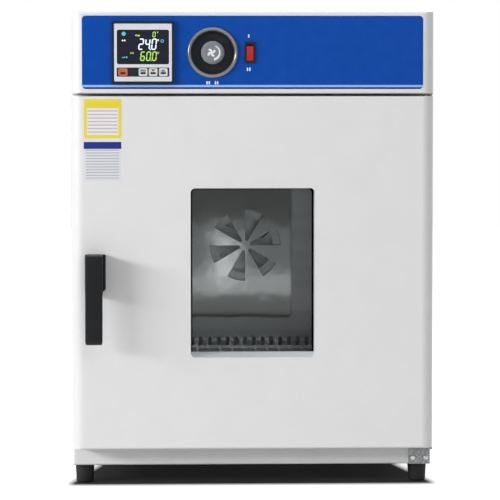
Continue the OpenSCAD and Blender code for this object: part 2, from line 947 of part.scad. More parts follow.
module key_down() {
    color([0.93, 0.93, 0.93]) key(2);
}

module key_up() {
    color([0.93, 0.93, 0.93]) key(3);
}

// Vent

dish_r = ring_r0 + 2;
dish_t = 1.5;
front_y = door_y - overlay_t;
pipe_y = case_y + pipe_back;
pipe_flange_w = 12;
pipe_flange_t = 1.5;

// Half-round dial ring
module vent_ring() {
    color([0.62, 0.63, 0.66]) facing(vent_x, front_y, ctrl_z) rotate_extrude()
        intersection() {
            translate([(ring_r + ring_r0) / 2, 0]) union() {
                translate([0, -ring_out + (ring_r - ring_r0) / 2]) circle((ring_r - ring_r0) / 2);
                translate([0, (-ring_out + (ring_r - ring_r0) / 2) / 2])
                    square([ring_r - ring_r0, ring_out - (ring_r - ring_r0) / 2], center = true);
            }
            translate([ring_r0, -ring_out]) square([ring_r - ring_r0, ring_out]);
        }
}

// Recessed dish with a bush for the spindle
module vent_dish() {
    color(black) facing(vent_x, front_y, ctrl_z) rotate_extrude() difference() {
        union() {
            square([dish_r, dish_d]);
            translate([0, dish_d - eps]) square([spindle_d / 2 + 3, 8]);
        }
        translate([-eps, -eps]) square([ring_r0 - 0.5, dish_d - dish_t + eps]);
        translate([-eps, 0]) square([spindle_d / 2 + spindle_play + eps, dish_d + 10]);
    }
}

// Many-sided knob with a bevelled face that stands in the dish
module vent_knob() {
    cone = 0.45;
    skirt_h = 3;
    skirt_w = 0.8;
    gap = 1;
    color([0.43, 0.44, 0.47]) facing(vent_x, front_y + dish_d - dish_t - gap - knob_l, ctrl_z)
        difference() {
            union() {
                intersection() {
                    cylinder(h = knob_l, r = knob_r, $fn = knob_sides);
                    cylinder(h = knob_l, r1 = knob_r - 2, r2 = knob_r - 2 + cone * knob_l);
                }
                translate([0, 0, knob_l - skirt_h]) cylinder(h = skirt_h, r = knob_r + skirt_w);
            }
            translate([0, 0, 4]) cylinder(h = knob_l, r = spindle_d / 2);
        }
}

module vent_spindle() {
    color([0.7, 0.7, 0.72]) rod_y(vent_x, front_y + dish_d - dish_t - 1 - knob_l + 4,
        pipe_y + pipe_r + pipe_t + 3, ctrl_z, spindle_d / 2);
}

// Round flap on the spindle, level when the vent is shut
module vent_flap() {
    color(steel) difference() {
        union() {
            rod_z(vent_x, pipe_y, ctrl_z - 0.6, ctrl_z + 0.6, pipe_r - flap_play);
            intersection() {
                rod_y(vent_x, pipe_y - pipe_r, pipe_y + pipe_r, ctrl_z, spindle_d / 2 + 1.2);
                rod_z(vent_x, pipe_y, ctrl_z - spindle_d, ctrl_z + spindle_d,
                    pipe_r - flap_play - 1.5);
            }
        }
        rod_y(vent_x, pipe_y - 2 * pipe_r, pipe_y + 2 * pipe_r, ctrl_z, spindle_d / 2);
    }
}

// Pipe from the chamber roof to the flush outlet in the lid
module vent_pipe() {
    color(steel) difference() {
        union() {
            rod_z(vent_x, pipe_y, roof_z + liner, top_z - sheet, pipe_r + pipe_t);
            rod_z(vent_x, pipe_y, roof_z + liner, roof_z + liner + pipe_flange_t,
                pipe_r + pipe_flange_w);
        }
        rod_z(vent_x, pipe_y, roof_z, top_z, pipe_r);
        rod_y(vent_x, pipe_y - 2 * pipe_r, pipe_y + 2 * pipe_r, ctrl_z,
            spindle_d / 2 + spindle_play);
    }
}

// Switch

switch_out = 2;
switch_deep = 24;
switch_wall = 1.8;
well_deep = 11;
pivot_y = front_y + 2.5;
pivot_r = 1.6;
pivot_play = 0.05;
body_w = switch_w - 2 * switch_wall;

module switch_frame() {
    color(black) difference() {
        union() {
            upright(front_y - switch_out, switch_out) translate([switch_x, ctrl_z])
                rounded(switch_w, switch_h, 1.2);
            upright(front_y - eps, switch_deep) translate([switch_x, ctrl_z])
                square([body_w, switch_h - 2 * switch_wall], center = true);
        }
        upright(front_y - switch_out - eps, switch_out + well_deep) translate([switch_x, ctrl_z])
            square([rocker_w + 2 * rocker_play, rocker_h + 2 * rocker_play + 1], center = true);
        rod_x(switch_x - switch_w, switch_x + switch_w, pivot_y, ctrl_z, pivot_r + pivot_play);
    }
}

// Rocker: two faces that meet at a shallow angle over its pivot, and the pivot's two pins
module switch_rocker() {
    h = rocker_h / 2;
    face = pivot_y - front_y + 2.9;
    rise = h * tan(rocker_tilt);
    color([0.8, 0.1, 0.1]) {
        translate([switch_x - rocker_w / 2, pivot_y, ctrl_z])
            rotate([rocker_tilt, 0, 0]) rotate([0, 90, 0]) linear_extrude(rocker_w)
                polygon([[-h + 0.5, -rise - face], [0, -face], [h - 0.5, -rise - face],
                    [h - 0.8, 0], [3, 4], [-3, 4], [-h + 0.8, 0]]);
        rod_x(switch_x - body_w / 2 + 0.2, switch_x + body_w / 2 - 0.2, pivot_y, ctrl_z, pivot_r);
    }
}

// Electrics in the header bay

relay_in = 130;
relay_back = 120;
strip_back = 220;

module power_relay() {
    color([0.2, 0.2, 0.22]) translate([half_w - relay_in, panel_y + relay_back, header_z]) {
        block([-32, -25, 0], [32, 25, 4]);
        block([-28, -22, 4 - eps], [28, 22, 26]);
        for (x = [-20, 20], y = [-15, 15]) translate([x, y, 26 - eps]) cylinder(h = 3, r = 3.5);
    }
}

module terminal_strip() {
    ways = 8;
    pitch = 12;
    color([0.15, 0.15, 0.15]) translate([20, panel_y + strip_back, header_z]) difference() {
        block([0, 0, 0], [ways * pitch, 22, 18]);
        for (i = [0:ways - 1]) translate([(i + 0.5) * pitch, 11, 8]) {
            block([-4, -12, 4], [4, 12, 11]);
            cylinder(h = 9, r = 2.5);
        }
    }
}

// Door

module window_shape(grow) {
    translate([0, window_z]) rounded(window_w + 2 * grow, window_h + 2 * grow, window_r + grow / 2);
}

module door_skin() {
    color(paint) difference() {
        translate([0, door_y, door_z])
            folded_shell(case_w, door_t, door_h, edge_r, bend_r, sheet);
        upright(door_y - eps, 2 * sheet) window_shape(0);
        rod_z(hinge_x, hinge_y, door_z - 1, door_z + 2 * sheet, bush_r);
        rod_z(hinge_x, hinge_y, door_top - 2 * sheet, door_top + 1, bush_r);
    }
}

// Inner pan of the door, with the edge that holds the inner pane
module door_liner() {
    color(steel) upright(door_back - liner, liner) difference() {
        translate([0, window_z]) square([2 * in_w, door_h - 2 * sheet], center = true);
        window_shape(-2);
        translate([catch_x, window_z]) for (z = [-1, 1])
            translate([0, z * catch_h / 3]) circle(screw_r);
    }
}

module door_wool() {
    right = hinge_x - bush_r - 5;
    color(wool_tone) upright(door_y + sheet, door_t - sheet - liner) difference() {
        translate([-in_w + edge_r, door_z + bend_r])
            square([right + in_w - edge_r, door_h - 2 * bend_r]);
        window_shape(pane_edge + surround_t);
    }
}

// Frame from the skin to the liner: ledge for the panes and a sill that slopes up to the glass
module window_frame() {
    low = window_z - window_h / 2;
    ledge_y = door_y + recess_d;
    color([0.62, 0.66, 0.7]) {
        upright(door_y + sheet, recess_d - sheet) difference() {
            window_shape(pane_edge + surround_t);
            window_shape(0);
        }
        upright(ledge_y - eps, door_back - liner - ledge_y + eps) difference() {
            window_shape(pane_edge + surround_t);
            window_shape(pane_edge + 0.1);
        }
        intersection() {
            upright(door_y + sheet, recess_d - sheet) window_shape(eps);
            translate([-window_w / 2, 0, 0]) rotate([90, 0, 90]) linear_extrude(window_w)
                polygon([[door_y + sheet, low - 1], [ledge_y, low - 1], [ledge_y, low + sill_rise],
                    [door_y + sheet, low]]);
        }
    }
}

pane_y1 = door_y + recess_d;
pane_y2 = door_back - liner - pane_t;

module window_panes() {
    color([0.5, 0.56, 0.6, 0.4]) for (y = [pane_y1, pane_y2]) upright(y, pane_t)
        window_shape(pane_edge);
}

module window_spacer() {
    color(black) upright(pane_y1 + pane_t, pane_y2 - pane_y1 - pane_t) difference() {
        window_shape(pane_edge);
        window_shape(-3);
    }
}

// Silicone gasket: a flat foot with a round lip towards the front frame
module gasket_ring(grow0, grow1) {
    translate([0, chamber_z + chamber_h / 2]) difference() {
        rounded(chamber_w + 2 * grow1, chamber_h + 2 * grow1, 8 + grow1 / 2);
        rounded(chamber_w + 2 * grow0, chamber_h + 2 * grow0, 8 + grow0 / 2);
    }
}

module door_gasket() {
    full = door_space - gasket_play;
    color([0.75, 0.3, 0.2]) {
        upright(door_back, full / 2) gasket_ring(gasket_set, gasket_set + gasket_w);
        upright(door_back + full / 2 - eps, full / 2 + eps)
            gasket_ring(gasket_set + gasket_w * 0.25, gasket_set + gasket_w * 0.75);
    }
}

// Handle: a base on the door, an arm that stands out and a lever that hangs from it
handle_z = door_z + handle_z0;
handle_top = handle_z + handle_l;
handle_base_z = handle_top - base_l;

module handle_side() {
    tip = lever_t / 2;
    top = 3;
    slope = (handle_out - handle_top_out) / (handle_l - tip - top);
    polygon([
        [0, handle_base_z], [0, handle_top], [-handle_top_out + top, handle_top],
        [-handle_top_out, handle_top - top], [-handle_out, handle_z + tip],
        [-handle_out + lever_t, handle_z + tip],
        [-handle_out + lever_t + slope * (handle_base_z - handle_z - tip), handle_base_z]
    ]);
    translate([-handle_out + tip, handle_z + tip]) circle(tip);
    translate([-handle_top_out + top, handle_top - top]) circle(top);
}

module door_handle() {
    side_r = 2;
    lean = 1.5;
    chamfer = 6;
    plinth = 12;
    color(black) intersection() {
        translate([handle_x - handle_base_w / 2 - 1, door_y, 0]) rotate([90, 0, 90])
            linear_extrude(handle_base_w + 2) handle_side();
        union() {
            upright(door_y - 2 * handle_out, 2 * handle_out - plinth)
                translate([handle_x - lean, (handle_z + handle_top) / 2])
                    rounded(lever_w, handle_l, side_r);
            upright(door_y - plinth - eps, plinth + eps) polygon([
                [handle_x - handle_base_w / 2, handle_base_z],
                [handle_x + handle_base_w / 2 - chamfer, handle_base_z],
                [handle_x + handle_base_w / 2, handle_base_z + chamfer],
                [handle_x + handle_base_w / 2, handle_top],
                [handle_x - handle_base_w / 2, handle_top]
            ]);
        }
    }
}

// Hinges

pin_r = pin_d / 2;
bush_r = pin_r + bush_t;
bush_flange_r = bush_r + 1.4;
pin_l = bush_l - 4;
low_plate_z = door_z - hinge_gap - plate_t;
low_x0 = half_w - plate_w;
low_screw_z = base_z + 10;
low_screw_in = 6.4;
top_screw_in = 4.5;
top_x0 = half_w - 1 - top_plate_w;
plate_reach = 12;

module hinge_screw_low() {
    for (x = [low_x0 + low_screw_in, half_w - low_screw_in])
        facing(x, case_y - plate_t - 2 * eps, low_screw_z) children();
}

module hinge_screw_top() {
    translate([top_x0 + top_screw_in, hinge_y, header_z - plate_t - 2 * eps]) children();
}

// Galvanised plate under the header with the upper pin
module hinge_bracket_top() {
    color(zinc) difference() {
        union() {
            block([top_x0, hinge_y - plate_reach, header_z - plate_t],
                [half_w - 1, hinge_y + plate_reach, header_z]);
            rod_z(hinge_x, hinge_y, door_top - pin_l, header_z - plate_t + eps, pin_r);
        }
        hinge_screw_top() cylinder(h = 3 * plate_t, r = small_screw_r + screw_play);
    }
}

// Galvanised angle under the door with the lower pin
module hinge_bracket_bottom() {
    color(zinc) difference() {
        union() {
            block([low_x0, case_y - plate_t, base_z], [half_w, case_y, low_plate_z + plate_t]);
            block([low_x0, hinge_y - plate_reach, low_plate_z],
                [half_w, case_y, low_plate_z + plate_t]);
            rod_z(hinge_x, hinge_y, low_plate_z, door_z + pin_l, pin_r);
        }
        hinge_screw_low() cylinder(h = 3 * plate_t, r = screw_hole);
    }
}

// Flanged bushes in the door's lower and upper edge
module hinge_bushes() {
    low_flange = hinge_gap - hinge_play;
    top_flange = door_gap - plate_t - hinge_play;
    color([0.72, 0.55, 0.3]) {
        difference() {
            union() {
                rod_z(hinge_x, hinge_y, door_z - low_flange, door_z + bush_l, bush_r);
                rod_z(hinge_x, hinge_y, door_z - low_flange, door_z, bush_flange_r);
            }
            rod_z(hinge_x, hinge_y, door_z - low_flange - eps, door_z + bush_l + eps,
                pin_r + pin_play);
        }
        difference() {
            union() {
                rod_z(hinge_x, hinge_y, door_top - bush_l, door_top + top_flange, bush_r);
                rod_z(hinge_x, hinge_y, door_top, door_top + top_flange, bush_flange_r);
            }
            rod_z(hinge_x, hinge_y, door_top - bush_l - eps, door_top + top_flange + eps,
                pin_r + pin_play);
        }
    }
}

// Pan-head screws of the hinge plates, the rear panel and the motor cover
module case_screws() {
    color([0.75, 0.76, 0.78]) {
        for (x = [low_x0 + low_screw_in, half_w - low_screw_in])
            facing(x, case_y - plate_t, low_screw_z) pan_screw(screw_l);
        translate([top_x0 + top_screw_in, hinge_y, header_z - plate_t])
            pan_screw(screw_l, small_screw_r);
        rear_screw_places() rotate([90, 0, 0]) pan_screw(screw_l);
        cover_screw_places() translate([0, sheet, 0]) rotate([90, 0, 0]) pan_screw(screw_l);
    }
}

// Catch

catch_x = -half_w + 28;
catch_out = 3;
catch_deep = 12;
striker_t = door_space - catch_out - 0.3;

module catch_slot() {
    upright(case_y - eps, 2 * sheet) translate([catch_x, window_z])
        square([catch_w, catch_h], center = true);
}

// Magnetic catch held in a slot of the front frame
module door_catch() {
    color(black) {
        upright(case_y - catch_out, catch_out + catch_deep) translate([catch_x, window_z])
            square([catch_w, catch_h], center = true);
        upright(case_y + sheet, 2) translate([catch_x, window_z])
            square([catch_w + 6, catch_h + 14], center = true);
    }
}

// Steel striker plate on the door, with the two stubs that rivet it to the liner
module catch_striker() {
    color(zinc) {
        upright(door_back, striker_t) translate([catch_x, window_z])
            square([catch_w, catch_h], center = true);
        for (z = [-1, 1]) rod_y(catch_x, door_back - liner, door_back + eps,
            window_z + z * catch_h / 3, screw_r);
    }
}

// Gland for the mains lead in the rear panel: hex collar, locknut and domed cap round one bore
cord_r = 5;
gland_nut_r = gland_r + 4;

module cable_gland() {
    color(black) facing(gland_x, back_y, gland_z) difference() {
        union() {
            translate([0, 0, -14]) cylinder(h = 22, r = gland_r);
            translate([0, 0, -sheet - 4]) cylinder(h = 4, r = gland_nut_r, $fn = 6);
            cylinder(h = 6, r = gland_nut_r, $fn = 6);
            translate([0, 0, 6]) rotate_extrude() {
                square([gland_r + 1, 8]);
                polygon([[0, 8], [gland_r + 1, 8], [cord_r + 2, 16], [0, 16]]);
            }
        }
        translate([0, 0, -15]) cylinder(h = 40, r = cord_r);
    }
}

// Feet: tapered rubber with a rounded lower edge
foot_r = 15;
foot_in = 18;
foot_taper = 1.5;
foot_front = 10;
foot_back = 40;

module feet() {
    round_r = 4;
    low_r = foot_r - foot_taper;
    color(black) for (x = [-1, 1], y = [panel_y + foot_front, back_y - foot_back])
        translate([x * (half_w - foot_in), y, 0]) rotate_extrude() {
            polygon([[0, 0], [low_r - round_r, 0], [low_r, round_r], [foot_r, foot_h],
                [0, foot_h]]);
            intersection() {
                translate([low_r - round_r, round_r]) circle(round_r);
                square([foot_r, foot_h]);
            }
        }
}

side_panel_left();
side_panel_right();
top_panel();
rear_panel();
base_pan();
front_frame();
bay_floor();
header_cover();
control_overlay();
wool_boards();
chamber_wall_left();
chamber_wall_right();
chamber_roof();
chamber_floor();
chamber_rear_wall();
air_duct_plate();
heater_elements();
fan_impeller();
fan_shaft();
fan_motor();
motor_bracket();
rear_motor_cover();
rack_posts();
rack_rungs();
shelf_upper();
shelf_lower();
temperature_probe();
controller_housing();
controller_faceplate();
controller_display();
key_power();
key_set();
key_down();
key_up();
vent_ring();
vent_dish();
vent_knob();
vent_spindle();
vent_flap();
vent_pipe();
switch_frame();
switch_rocker();
power_relay();
terminal_strip();
door_skin();
door_liner();
door_wool();
window_frame();
window_panes();
window_spacer();
door_gasket();
door_handle();
hinge_bracket_top();
hinge_bracket_bottom();
hinge_bushes();
case_screws();
door_catch();
catch_striker();
cable_gland();
feet();
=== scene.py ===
"""Forced-air drying oven: its finishes and fine pieces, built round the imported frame.

Metres, as in the frame: X to the viewer's right, the door faces -Y, Z up.
"""

import bmesh
import bpy
import numpy as np
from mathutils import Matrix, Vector


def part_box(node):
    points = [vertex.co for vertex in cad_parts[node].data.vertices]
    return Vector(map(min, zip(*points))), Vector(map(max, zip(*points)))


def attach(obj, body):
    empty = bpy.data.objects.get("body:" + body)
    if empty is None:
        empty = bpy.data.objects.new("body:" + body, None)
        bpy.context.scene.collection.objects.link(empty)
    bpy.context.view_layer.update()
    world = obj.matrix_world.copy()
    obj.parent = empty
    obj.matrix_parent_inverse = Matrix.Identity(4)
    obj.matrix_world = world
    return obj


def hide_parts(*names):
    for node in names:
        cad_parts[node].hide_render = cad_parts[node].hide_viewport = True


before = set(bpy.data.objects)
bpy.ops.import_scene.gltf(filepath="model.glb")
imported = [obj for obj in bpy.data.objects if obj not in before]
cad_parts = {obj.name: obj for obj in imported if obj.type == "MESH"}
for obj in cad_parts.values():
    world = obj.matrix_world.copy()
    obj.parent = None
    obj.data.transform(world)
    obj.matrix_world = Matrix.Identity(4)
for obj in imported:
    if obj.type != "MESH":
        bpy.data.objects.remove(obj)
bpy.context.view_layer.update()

# Studio
# The oven stands on a pale floor in front of white paper. The camera is 4.5 m away at the height of
# the header, a little to the left, with a long lens.
door_low, door_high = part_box("door_skin")
door_front = door_low.y

camera_away, camera_height, camera_left = 4.5, 0.6254, 0.1467
look_down, look_right = 2.942, 2.111
sensor_widths = 5.8395
lens = bpy.data.cameras.new("studio_camera")
lens.sensor_width = 36
lens.lens = lens.sensor_width * sensor_widths
lens.shift_x = -0.0306
lens.shift_y = -0.0309
lens.clip_end = 50
camera = bpy.data.objects.new("studio_camera", lens)
camera.location = (-camera_left, door_front - camera_away, camera_height)
camera.rotation_euler = np.radians((90 - look_down, 0, -look_right))
bpy.context.scene.collection.objects.link(camera)
bpy.context.scene.camera = camera
bpy.context.scene.view_settings.view_transform = "Standard"


def softbox(name, place, aim, width, height, watts):
    """A soft area lamp at place whose face looks at aim."""
    data = bpy.data.lights.new(name, "AREA")
    data.shape = "RECTANGLE"
    data.size, data.size_y, data.energy = width, height, watts
    lamp = bpy.data.objects.new(name, data)
    lamp.location = place
    lamp.rotation_euler = (Vector(aim) - Vector(place)).to_track_quat("-Z", "Y").to_euler()
    lamp.visible_camera = False
    bpy.context.scene.collection.objects.link(lamp)
    return lamp


oven_middle = (0, -0.1, 0.4)
softbox("key_left", (-3.65, -2.47, 1.29), oven_middle, 2.7, 0.6, 127)
softbox("fill_right", (1.1, -3.3, 1.5), oven_middle, 2.2, 1.8, 13)
softbox("overhead", (0, -0.2, 2.9), oven_middle, 2.4, 2.4, 24)
softbox("back_left", (-2.2, 2.2, 1.8), oven_middle, 1.4, 1.4, 2.5)
# Weak lamps stand low in front, only for the duct plate to mirror: two strips and a small window. One
# more, between that plate and the door, gives the inside of the door its dim light.
duct_low, duct_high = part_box("air_duct_plate")
duct_z = (duct_low.z + duct_high.z) / 2
softbox("low_strip", (0, -3.4, 0.055), (0, 0, 0.055), 3.0, 0.06, 0.25)
softbox("low_haze", (0, -3.42, 0.15), (0, 0, 0.15), 2.2, 0.14, 0.12)
softbox("low_window", (0.05, -3.38, 0.13), (0, 0, 0.13), 0.08, 0.12, 0.02)
glow = softbox("chamber_glow", (0, duct_low.y - 0.01, duct_z), (0, -1, duct_z), 0.36, 0.36, 0.13)
glow.visible_transmission = False


def tree_of(owner):
    """Short names for adding and joining nodes in a material, group or world."""
    return owner.nodes.new, owner.links.new


def feed(tree, pairs):
    """Puts a constant on each socket, or joins another socket to it."""
    for socket, value in pairs:
        if isinstance(value, bpy.types.NodeSocket):
            tree.links.new(value, socket)
        else:
            socket.default_value = value


def number_math(tree, operation, *values):
    """The result of an operation on numbers, each a socket or a constant."""
    node = tree.nodes.new("ShaderNodeMath")
    node.operation = operation
    feed(tree, zip(node.inputs, values))
    return node.outputs["Value"]


def vector_math(tree, operation, *values):
    """The result of an operation on vectors, each a socket or a constant. A length is a number."""
    node = tree.nodes.new("ShaderNodeVectorMath")
    node.operation = operation
    feed(tree, zip(node.inputs, values))
    return node.outputs["Value" if operation == "LENGTH" else "Vector"]


def ramp_of(tree, value, start, end, low, high):
    """Goes evenly from low to high while value goes from start to end, and stays there outside them."""
    node = tree.nodes.new("ShaderNodeMapRange")
    sockets = [node.inputs[name] for name in ("Value", "From Min", "From Max", "To Min", "To Max")]
    feed(tree, zip(sockets, (value, start, end, low, high)))
    return node.outputs["Result"]


def mixed_color(tree, factor, a, b):
    """The colour between a and b at factor; each may be a socket or a constant."""
    mix = tree.nodes.new("ShaderNodeMix")
    mix.data_type = "RGBA"
    feed(tree, ((mix.inputs[0], factor), (mix.inputs[6], a), (mix.inputs[7], b)))
    return mix.outputs[2]


def seen_directly(tree):
    """1 for rays from the camera, from gloss and through glass, and 0 for rays that gather light."""
    path = tree.nodes.new("ShaderNodeLightPath")
    plain = number_math(tree, "MAXIMUM", path.outputs["Is Camera Ray"], path.outputs["Is Glossy Ray"])
    return path, number_math(tree, "MAXIMUM", plain, path.outputs["Is Transmission Ray"])


# White paper all round to the eye. Gloss and glass see the paper behind and above the oven, and a dim
# room low down in front of it with a less dim floor. Rays that gather light find an even grey.
dim_room, even_grey = 0.085, 0.42
world = bpy.data.worlds.new("studio_world")
world.use_nodes = True
bpy.context.scene.world = world
add, link = tree_of(world.node_tree)
paper = world.node_tree.nodes["Background"]
paper.inputs["Color"].default_value = (1, 1, 1, 1)
path, direct = seen_directly(world.node_tree)
sight, rise = add("ShaderNodeTexCoord"), add("ShaderNodeSeparateXYZ")
link(sight.outputs["Generated"], rise.inputs[0])
room = dim_room
for axis, start, end, most in (("Z", 0.0, 0.45, 1.0), ("Y", -0.35, 0.5, 1.0), ("Z", -0.066, -0.074, 0.135)):
    lighter = ramp_of(world.node_tree, rise.outputs[axis], start, end, dim_room, most)
    room = number_math(world.node_tree, "MAXIMUM", room, lighter)
gather = add("ShaderNodeMix")
gather.inputs["A"].default_value = even_grey
link(direct, gather.inputs["Factor"])
link(room, gather.inputs["B"])
final = add("ShaderNodeMix")
final.inputs["B"].default_value = 1.0
link(path.outputs["Is Camera Ray"], final.inputs["Factor"])
link(gather.outputs["Result"], final.inputs["A"])
link(final.outputs["Result"], paper.inputs["Strength"])

# Floor: pale board, lifted to white outside the feet. Between the feet it carries a painted shadow: a dark
# grey colour and only a faint glow, standing in for the shade where little light gets under the oven. The
# painted shadow narrows a little behind the front feet and has soft edges.
feet_low, feet_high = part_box("feet")
past_feet, painted_shadow_edge = Vector((0, 0.012, 0)), 0.034
wedge_run, wedge_most = 0.2, 0.08
floor_mesh = bpy.data.meshes.new("studio_floor")
floor_mesh.from_pydata([(-6, -1.6, 0), (6, -1.6, 0), (6, 8, 0), (-6, 8, 0)], [], [(0, 1, 2, 3)])
floor = bpy.data.objects.new("studio_floor", floor_mesh)
bpy.context.scene.collection.objects.link(floor)
board = bpy.data.materials.new("studio_floor")
board.use_nodes = True
tree = board.node_tree
add, link = tree_of(tree)
shader = tree.nodes["Principled BSDF"]
shader.inputs["Roughness"].default_value = 0.9
shader.inputs["Specular IOR Level"].default_value = 0.1
shader.inputs["Emission Color"].default_value = (1, 1, 1, 1)
path, direct = seen_directly(tree)
place, depth, split = add("ShaderNodeTexCoord"), add("ShaderNodeSeparateXYZ"), add("ShaderNodeSeparateXYZ")
from_middle = vector_math(tree, "SUBTRACT", place.outputs["Object"], (feet_low + feet_high) / 2)
link(from_middle, depth.inputs[0])
half_y = (feet_high.y - feet_low.y) / 2
narrowing = ramp_of(tree, depth.outputs["Y"], -half_y, wedge_run - half_y, 0.0, wedge_most)
outside = vector_math(tree, "ABSOLUTE", from_middle)
past = vector_math(tree, "SUBTRACT", outside, (feet_high - feet_low) / 2 + past_feet)
link(past, split.inputs[0])
apart = add("ShaderNodeCombineXYZ")
link(number_math(tree, "MULTIPLY_ADD", split.outputs["X"], 2, narrowing), apart.inputs["X"])
link(split.outputs["Y"], apart.inputs["Y"])
edge = vector_math(tree, "LENGTH", vector_math(tree, "MAXIMUM", apart.outputs[0], (0, 0, 0)))
pale = ramp_of(tree, edge, 0.0, painted_shadow_edge, 0.0, 1.0)
# Board colour: a painted shadow of dark grey between the feet, the pale board outside it.
painted_shadow_grey, pale_board = (0.035, 0.035, 0.035, 1), (0.75, 0.75, 0.75, 1)
link(mixed_color(tree, pale, painted_shadow_grey, pale_board), shader.inputs["Base Color"])
# Glow: faint inside the painted shadow, rising to white outside it.
level = number_math(tree, "MULTIPLY", ramp_of(tree, pale, 0.0, 1.0, 0.009, 0.8), direct)
link(level, shader.inputs["Emission Strength"])
floor_mesh.materials.append(board)


# Cabinet sheets
# Folded steel sheet, powder coated in a pale grey with a fine orange-peel skin. Side panels, lid,
# rear panel, base pan, front frame, header and door skin all come from the same coating line.
def new_finish(name, **constants):
    """A material with one Principled shader. Each keyword names one of its sockets, with _ for a space."""
    finish = bpy.data.materials.new(name)
    finish.use_nodes = True
    shader = finish.node_tree.nodes["Principled BSDF"]
    for socket, value in constants.items():
        shader.inputs[socket.replace("_", " ")].default_value = value
    return finish, finish.node_tree, shader


def grain_group():
    """Grain of a skin. The place on the object times Stretch goes into a fine and a broad noise. The broad
    one, a little roughened by the fine one, moves the colour from Dark to Light; the fine one moves the
    roughness by Spread about its middle and lifts the surface by Depth."""
    group = bpy.data.node_groups.new("surface_grain", "ShaderNodeTree")
    for name, kind in (("Dark", "Color"), ("Light", "Color"), ("Stretch", "Vector"),
                       ("Roughness", "Float"), ("Spread", "Float"), ("Depth", "Float")):
        group.interface.new_socket(name, in_out="INPUT", socket_type="NodeSocket" + kind)
    for name, kind in (("Color", "Color"), ("Roughness", "Float"), ("Normal", "Vector")):
        group.interface.new_socket(name, in_out="OUTPUT", socket_type="NodeSocket" + kind)
    add, link = tree_of(group)
    given, result = add("NodeGroupInput"), add("NodeGroupOutput")
    place, stretch = add("ShaderNodeTexCoord"), add("ShaderNodeMapping")
    link(place.outputs["Object"], stretch.inputs["Vector"])
    link(given.outputs["Stretch"], stretch.inputs["Scale"])
    fine, broad = add("ShaderNodeTexNoise"), add("ShaderNodeTexNoise")
    fine.inputs["Scale"].default_value, fine.inputs["Detail"].default_value = 1, 3
    broad.inputs["Scale"].default_value, broad.inputs["Detail"].default_value = 0.04, 5
    for noise in (fine, broad):
        link(stretch.outputs["Vector"], noise.inputs["Vector"])
    tone = number_math(group, "MULTIPLY_ADD", fine.outputs["Fac"], 0.35, broad.outputs["Fac"])
    spread = ramp_of(group, tone, 0.45, 0.9, 0.0, 1.0)
    link(mixed_color(group, spread, given.outputs["Dark"], given.outputs["Light"]), result.inputs["Color"])
    centred = number_math(group, "SUBTRACT", fine.outputs["Fac"], 0.5)
    link(number_math(group, "MULTIPLY_ADD", centred, given.outputs["Spread"], given.outputs["Roughness"]),
         result.inputs["Roughness"])
    bump = add("ShaderNodeBump")
    link(fine.outputs["Fac"], bump.inputs["Height"])
    link(given.outputs["Depth"], bump.inputs["Distance"])
    link(bump.outputs["Normal"], result.inputs["Normal"])
    return group


surface_grain = grain_group()


def grained(name, dark, light, stretch, roughness, spread, depth, **constants):
    """A finish whose colour, roughness and relief come from the grain group."""
    finish, tree, shader = new_finish(name, **constants)
    grain = tree.nodes.new("ShaderNodeGroup")
    grain.node_tree = surface_grain
    for socket, value in (("Dark", (*dark, 1)), ("Light", (*light, 1)), ("Stretch", stretch),
                          ("Roughness", roughness), ("Spread", spread), ("Depth", depth)):
        grain.inputs[socket].default_value = value
    tree.links.new(grain.outputs["Color"], shader.inputs["Base Color"])
    tree.links.new(grain.outputs["Roughness"], shader.inputs["Roughness"])
    tree.links.new(grain.outputs["Normal"], shader.inputs["Normal"])
    return finish


def coat(finish, *nodes):
    """Gives CAD nodes a finish through their own material slots."""
    for name in nodes:
        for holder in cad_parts[name].material_slots:
            holder.material = finish


powder_coat = grained("powder_coat", (0.735, 0.735, 0.74), (0.755, 0.755, 0.76), (700, 700, 700),
                      0.36, 0.10, 0.00002, Specular_IOR_Level=0.35)
coat(powder_coat, "side_panel_left", "side_panel_right", "top_panel", "rear_panel", "base_pan",
     "front_frame", "header_cover", "door_skin", "rear_motor_cover")


# Insulation
# Boards of pressed mineral wool round the chamber and a mat of it in the door, straw yellow, with
# fibres that lie in layers.
mineral_wool = grained("mineral_wool", (0.42, 0.36, 0.20), (0.72, 0.64, 0.42), (260, 260, 1600),
                       0.95, 0.1, 0.0012, Specular_IOR_Level=0.1)
coat(mineral_wool, "wool_boards", "door_wool")


# Chamber
# Bent from 1 mm stainless sheet with a brushed face; the brush ran along the sheet, so the marks lie
# level. The duct plate is cut from bright annealed sheet, which mirrors what stands before the door.
brushed_steel = grained("brushed_steel", (0.50, 0.51, 0.52), (0.60, 0.61, 0.62), (30, 30, 2400),
                        0.34, 0.22, 0.000012, Metallic=1.0)
coat(brushed_steel, "chamber_wall_left", "chamber_wall_right", "chamber_roof", "chamber_floor",
     "chamber_rear_wall", "door_liner", "bay_floor", "vent_pipe", "vent_flap")
bright_steel = grained("bright_steel", (0.56, 0.57, 0.58), (0.64, 0.65, 0.66), (8, 8, 8),
                       0.055, 0.02, 0.0004, Metallic=1.0)
coat(bright_steel, "air_duct_plate")


# Heaters and fan
# Two finned tube heaters of dark oxidised steel, and a centrifugal wheel of spun aluminium on a ground
# shaft, with its motor behind the rear wool on a galvanised bracket.
heater_sheath = grained("heater_sheath", (0.10, 0.09, 0.085), (0.24, 0.20, 0.17), (220, 220, 220),
                        0.55, 0.25, 0.00006, Metallic=0.85)
